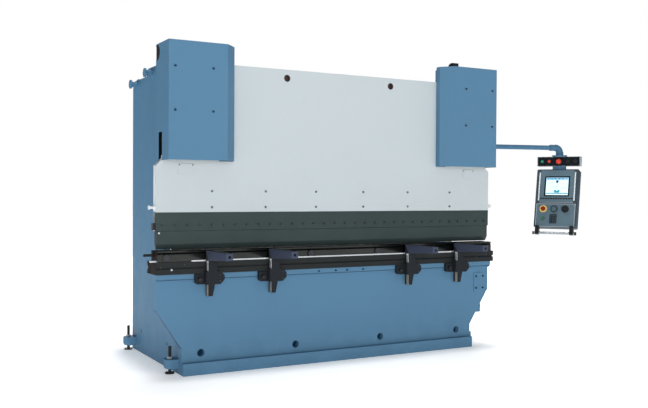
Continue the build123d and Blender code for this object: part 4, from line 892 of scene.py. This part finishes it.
def dress_motor():
    cowl = Piece("motor_fan_cowl", motor_paint, "frame")
    shaft_x, shaft_y, shaft_z = 606.4, 860.0, 2330.0
    shaft = (shaft_x, shaft_y, shaft_z)
    cowl_face = 38
    grille = (shaft_x + cowl_face, shaft_y, shaft_z)
    cowl_profile = [(107, -40), (109, -38), (109, 30), (104, 37), (98, 38)]
    cowl.turned(shaft, to_right, cowl_profile, 48)
    ring_outer, ring_inner = 5, 3
    for radius in (30.0, 44.0, 58.0, 72.0, 86.0):
        outer, inner = 2 * radius + ring_outer, 2 * radius - ring_inner
        cowl.collar(grille, to_right, outer, inner, 3.0, 0.6, 40)
    spokes, spoke_half, spoke_start, spoke_length, spoke_height = 6, 3, 14, 78, 3.6
    for i in range(spokes):
        angle = 2 * math.pi * i / spokes
        step = Vector((0, math.cos(angle), math.sin(angle)))
        cross = Vector((0, -step.z, step.y)) * spoke_half
        start = Vector(grille) + step * spoke_start
        end = start + step * spoke_length
        cowl.slab([start - cross, start + cross, end + cross, end - cross], to_right, spoke_height)
    cowl.disc(grille, to_right, 34.0, 5.0, 1.5)
    cowl.done()

    lid_front, lid_back, lid_edge = 691, 695, 1.2
    boxes("motor_terminal_lid", motor_paint, "frame",
          [((379, lid_front, 2293), (494, lid_back, 2367))], lid_edge)
    screws("motor_terminal_screws", turned_steel, "frame",
           [(x, lid_front, z) for x in (388, 485) for z in (2302, 2358)], to_front, 8.0, 3.0)


def dress_pipes():
    pipe_y, pipe_z, pipe, fit = 640.0, 2240.0, 28.0, 0.6
    nuts = Piece("pipe_nuts", dark_steel, "frame")
    for side in (-1, 1):
        for start, y in ((60.0, pipe_y), (1226.0, 0.0)):
            nuts.collar((side * start, y, pipe_z), (side, 0, 0), 50.0, pipe + fit, 26.0, 2.0, 6)
    nuts.done()

    clamps = Piece("pipe_clamps", dark_steel, "frame")
    tank_top = span("oil_tank")[1].z
    strap, strap_half, foot_half, foot_reach, foot_gap = 10, 12, 14, 30, 4
    for x in (-900.0, -420.0, 420.0, 900.0):
        start = (x - strap_half, pipe_y, pipe_z)
        clamps.collar(start, to_right, pipe + strap, pipe + fit, 24.0, 1.0)
        clamps.box((x - foot_half, pipe_y - foot_reach, tank_top),
                   (x + foot_half, pipe_y + foot_reach, pipe_z - pipe / 2 - foot_gap), 1.0)
    clamps.done()

    cylinder_x, cylinder_top, reaches = 1362.0, 2460.0, (-85.0, 85.0)
    spots = [
        (side * cylinder_x + x, y, cylinder_top)
        for side in (-1, 1) for x in reaches for y in reaches
    ]
    screws("cylinder_screws", dark_steel, "frame", spots, upward, 26.0, 16.0)


# Back gauge: toothed rack, its guard on the beam with a black upright strip that stands for the
# shade behind the gap under the punch, screws on the fingers
def dress_gauge():
    low, high = span("gauge_beam")
    rear, rack_depth, tooth_depth = 410.0, 5, 8
    rack_inset, rack_low, rack_high, rack_edge = 20, 852, 878, 0.6
    rack = Piece("gauge_rack", dark_steel, "gauge")
    rack.box((low.x + rack_inset, rear, rack_low),
             (high.x - rack_inset, rear + rack_depth, rack_high), rack_edge)
    tooth, tooth_count, tooth_inset, tooth_low, tooth_height = 4.6, 240, 26, 854, 22.0
    for x in even(low.x + tooth_inset, high.x - tooth_inset, tooth_count):
        outline = (
            (x - tooth / 2, rear + rack_depth), (x + tooth / 2, rear + rack_depth),
            (x + tooth / 4, rear + tooth_depth), (x - tooth / 4, rear + tooth_depth),
        )
        rack.slab([(*spot, tooth_low) for spot in outline], upward, tooth_height)
    rack.done()

    # The guard's upright black strip is painted shade behind the gap under the punch; it reaches
    # past both ends of the beam.
    shade_strip_overhang, guard_depth, shade_strip_thickness = 95.0, 14, 2.5
    shelf_low, shelf_high, shade_strip_low, shade_strip_high = 881, 897, 890, 956
    guard_rear = rear + guard_depth
    boxes("gauge_rack_guard_and_shade_strip", black_plastic, "gauge", [
        ((low.x, rear, shelf_low), (high.x, guard_rear, shelf_high)),
        ((low.x - shade_strip_overhang, guard_rear - shade_strip_thickness, shade_strip_low),
         (high.x + shade_strip_overhang, guard_rear, shade_strip_high)),
    ], sheet_edge)

    for side in ("left", "right"):
        name = f"gauge_finger_{side}"
        low, high = span(name)
        middle = (low.x + high.x) / 2
        spots = [(middle + x, y, high.z) for x in (-24, 24) for y in (345.0, 395.0)]
        screws(f"{name}_screws", dark_steel, f"finger_{side}", spots, upward, 14.0, 8.0)


# Sides: cap of the pendant arm's hub, weld beads of its bracket and of the bollards
def dress_sides():
    turning("arm_hub_cap", arm_blue, "arm", (1610.0, 230.0, 1904.0), upward,
            [(40, 0), (40, 4), (36, 8), (12, 9)], 36)
    beads = Piece("bracket_weld_beads", weld_paint, "frame")
    beads.end_bead(frame_side, (170, 1779.7), (290, 1829.7))
    beads.done()
    rings = Piece("bollard_weld_beads", weld_paint, "frame")
    ring_profile = [(46, 0), (51, 0), (48, 4), (46, 6)]
    for side in (-1, 1):
        for y, z in ((707.0, 2405.0), (1125.0, 2353.0)):
            rings.turned((side * frame_side, y, z), (side, 0, 0), ring_profile, 40, ring=True)
    rings.done()


# Cylinder covers: sockets of the screws, black discs in the round notches that stand for the shade
# inside them
def dress_covers():
    front = span("cover_screws")[0].y
    spots = [
        (side * x, front, z) for side in (-1, 1) for x in (1505.0, 1205.0) for z in (2346.0, 2020.0)
    ]
    screws("cover_screw_sockets", dark_steel, "frame", spots, to_front, 10.0, 0.8)

    # Painted shade: black discs make the round notches look dark inside.
    shade_discs = Piece("cover_hole_shade_discs", black_plastic, "frame")
    wall, rear, shade_disc_height = 1551.0, 114.5, 1.5
    middle_y, middle_z, radius, sides = 83.0, 2475.0, 58.8, 48
    for side in (-1, 1):
        outline = []
        for i in range(sides):
            angle = 2 * math.pi * i / sides
            y = min(rear, middle_y + radius * math.cos(angle))
            outline.append((side * wall, y, middle_z + radius * math.sin(angle)))
        shade_discs.slab(outline, (side, 0, 0), shade_disc_height)
    shade_discs.done()


dress_ram()
dress_bed()
for support_name in supports:
    dress_support(support_name)
dress_header()
dress_console()
dress_screen()
dress_cabinet()
dress_tank()
dress_motor()
dress_pipes()
dress_gauge()
dress_sides()
dress_covers()


# Floor, light and camera, in metres
def lamp(name, place, aim, size, power, tint=(1, 1, 1)):
    data = bpy.data.lights.new(name, "AREA")
    data.color = tint
    data.shape = "RECTANGLE"
    data.size, data.size_y = size
    data.energy = power
    lamp_object = bpy.data.objects.new(name, data)
    scene.collection.objects.link(lamp_object)
    lamp_object.visible_camera = False
    lamp_object.location = place
    turn = (Vector(aim) - Vector(place)).to_track_quat("-Z", "Y")
    lamp_object.rotation_euler = turn.to_euler()


def studio_world():
    """White where it is seen directly; as a light it is softer, and dimmer from the right."""
    light_tint, left_strength, right_strength = (0.74, 0.94, 1.1, 1), 0.12, 0.09
    world = bpy.data.worlds.new("studio")
    world.use_nodes = True
    tree = world.node_tree
    seen = tree.nodes["Background"]
    seen.inputs["Color"].default_value = (1, 1, 1, 1)
    light = tree.nodes.new("ShaderNodeBackground")
    light.inputs["Color"].default_value = light_tint
    direction = tree.nodes.new("ShaderNodeTexCoord").outputs["Generated"]
    parts = tree.nodes.new("ShaderNodeSeparateXYZ")
    tree.links.new(direction, parts.inputs[0])
    strength = map_range(tree, parts.outputs[0], -1.0, 1.0, left_strength, right_strength)
    tree.links.new(strength, light.inputs["Strength"])
    seen_directly = tree.nodes.new("ShaderNodeLightPath").outputs["Is Camera Ray"]
    choice = tree.nodes.new("ShaderNodeMixShader")
    for slot, value in enumerate((seen_directly, light.outputs[0], seen.outputs[0])):
        tree.links.new(value, choice.inputs[slot])
    tree.links.new(choice.outputs[0], tree.nodes["World Output"].inputs["Surface"])
    scene.world = world


def studio_floor():
    """Floor that glows like the backdrop, less so near the machine and in its contact shadow."""
    edge = 40.0
    corners = [(-edge, -edge, 0), (edge, -edge, 0), (edge, edge, 0), (-edge, edge, 0)]
    mesh = bpy.data.meshes.new("floor")
    mesh.from_pydata(corners, [], [(0, 1, 2, 3)])
    floor = bpy.data.objects.new("floor", mesh)
    scene.collection.objects.link(floor)
    s = Shader("floor")
    s.set(Specular_IOR_Level=0.1, Roughness=0.8, Emission_Color=(1, 1, 1, 1))
    glow_near, glow_far, near_share = 1.8, 4.5, 0.70
    far = s.ranged(s.distance(), glow_near, glow_far, near_share, 1.0)
    base_middle, base_half = (0, 0.6, 0), (1.45, 0.65, 0)
    shadow_width, shadow_share = 0.3, 0.48
    gap = s.box_distance(base_middle, base_half)
    near = s.ranged(gap, 0.0, shadow_width, shadow_share, 1.0, "SMOOTHSTEP")
    s.link(s.times(far, near), s.bsdf.inputs["Emission Strength"])
    s.colour(s.mix(s.noise(3.0), (0.92, 0.92, 0.92), (0.95, 0.95, 0.95)))
    mesh.materials.append(s.mat)


studio_world()
studio_floor()
lamp("key", place=(-6.0, -17.0, 2.6), aim=(0, 0, 1.1), size=(8.0, 6.0), power=1350)
lamp("top", place=(-1.5, -3.5, 6.0), aim=(0, 0, 0.5), size=(7.0, 6.0), power=45)
lamp("roof", place=(0, 1.1, 6.5), aim=(0, 1.1, 0), size=(3.0, 1.6), power=150)
lamp("left", place=(-5.0, 1.4, 0.5), aim=(-1.4, 0.9, 0.5), size=(2.4, 0.9), power=13,
     tint=(0.72, 0.94, 1.1))
lamp("rear", place=(4.0, 9.5, 4.2), aim=(0, 0.6, 1.2), size=(8.0, 4.0), power=640)

camera_place = (-3.561, -6.206, 1.415)
camera_turns = ((-28.89, "Z"), (89.2, "X"), (0.34, "Z"))
camera_data = bpy.data.cameras.new("camera")
camera_data.sensor_width = 36.0
camera_data.lens = 46.9
camera_data.clip_end = 200.0
camera = bpy.data.objects.new("camera", camera_data)
scene.collection.objects.link(camera)
camera_pose = Matrix.Translation(camera_place)
for degrees, axis in camera_turns:
    camera_pose = camera_pose @ Matrix.Rotation(math.radians(degrees), 4, axis)
camera.matrix_world = camera_pose
scene.camera = camera
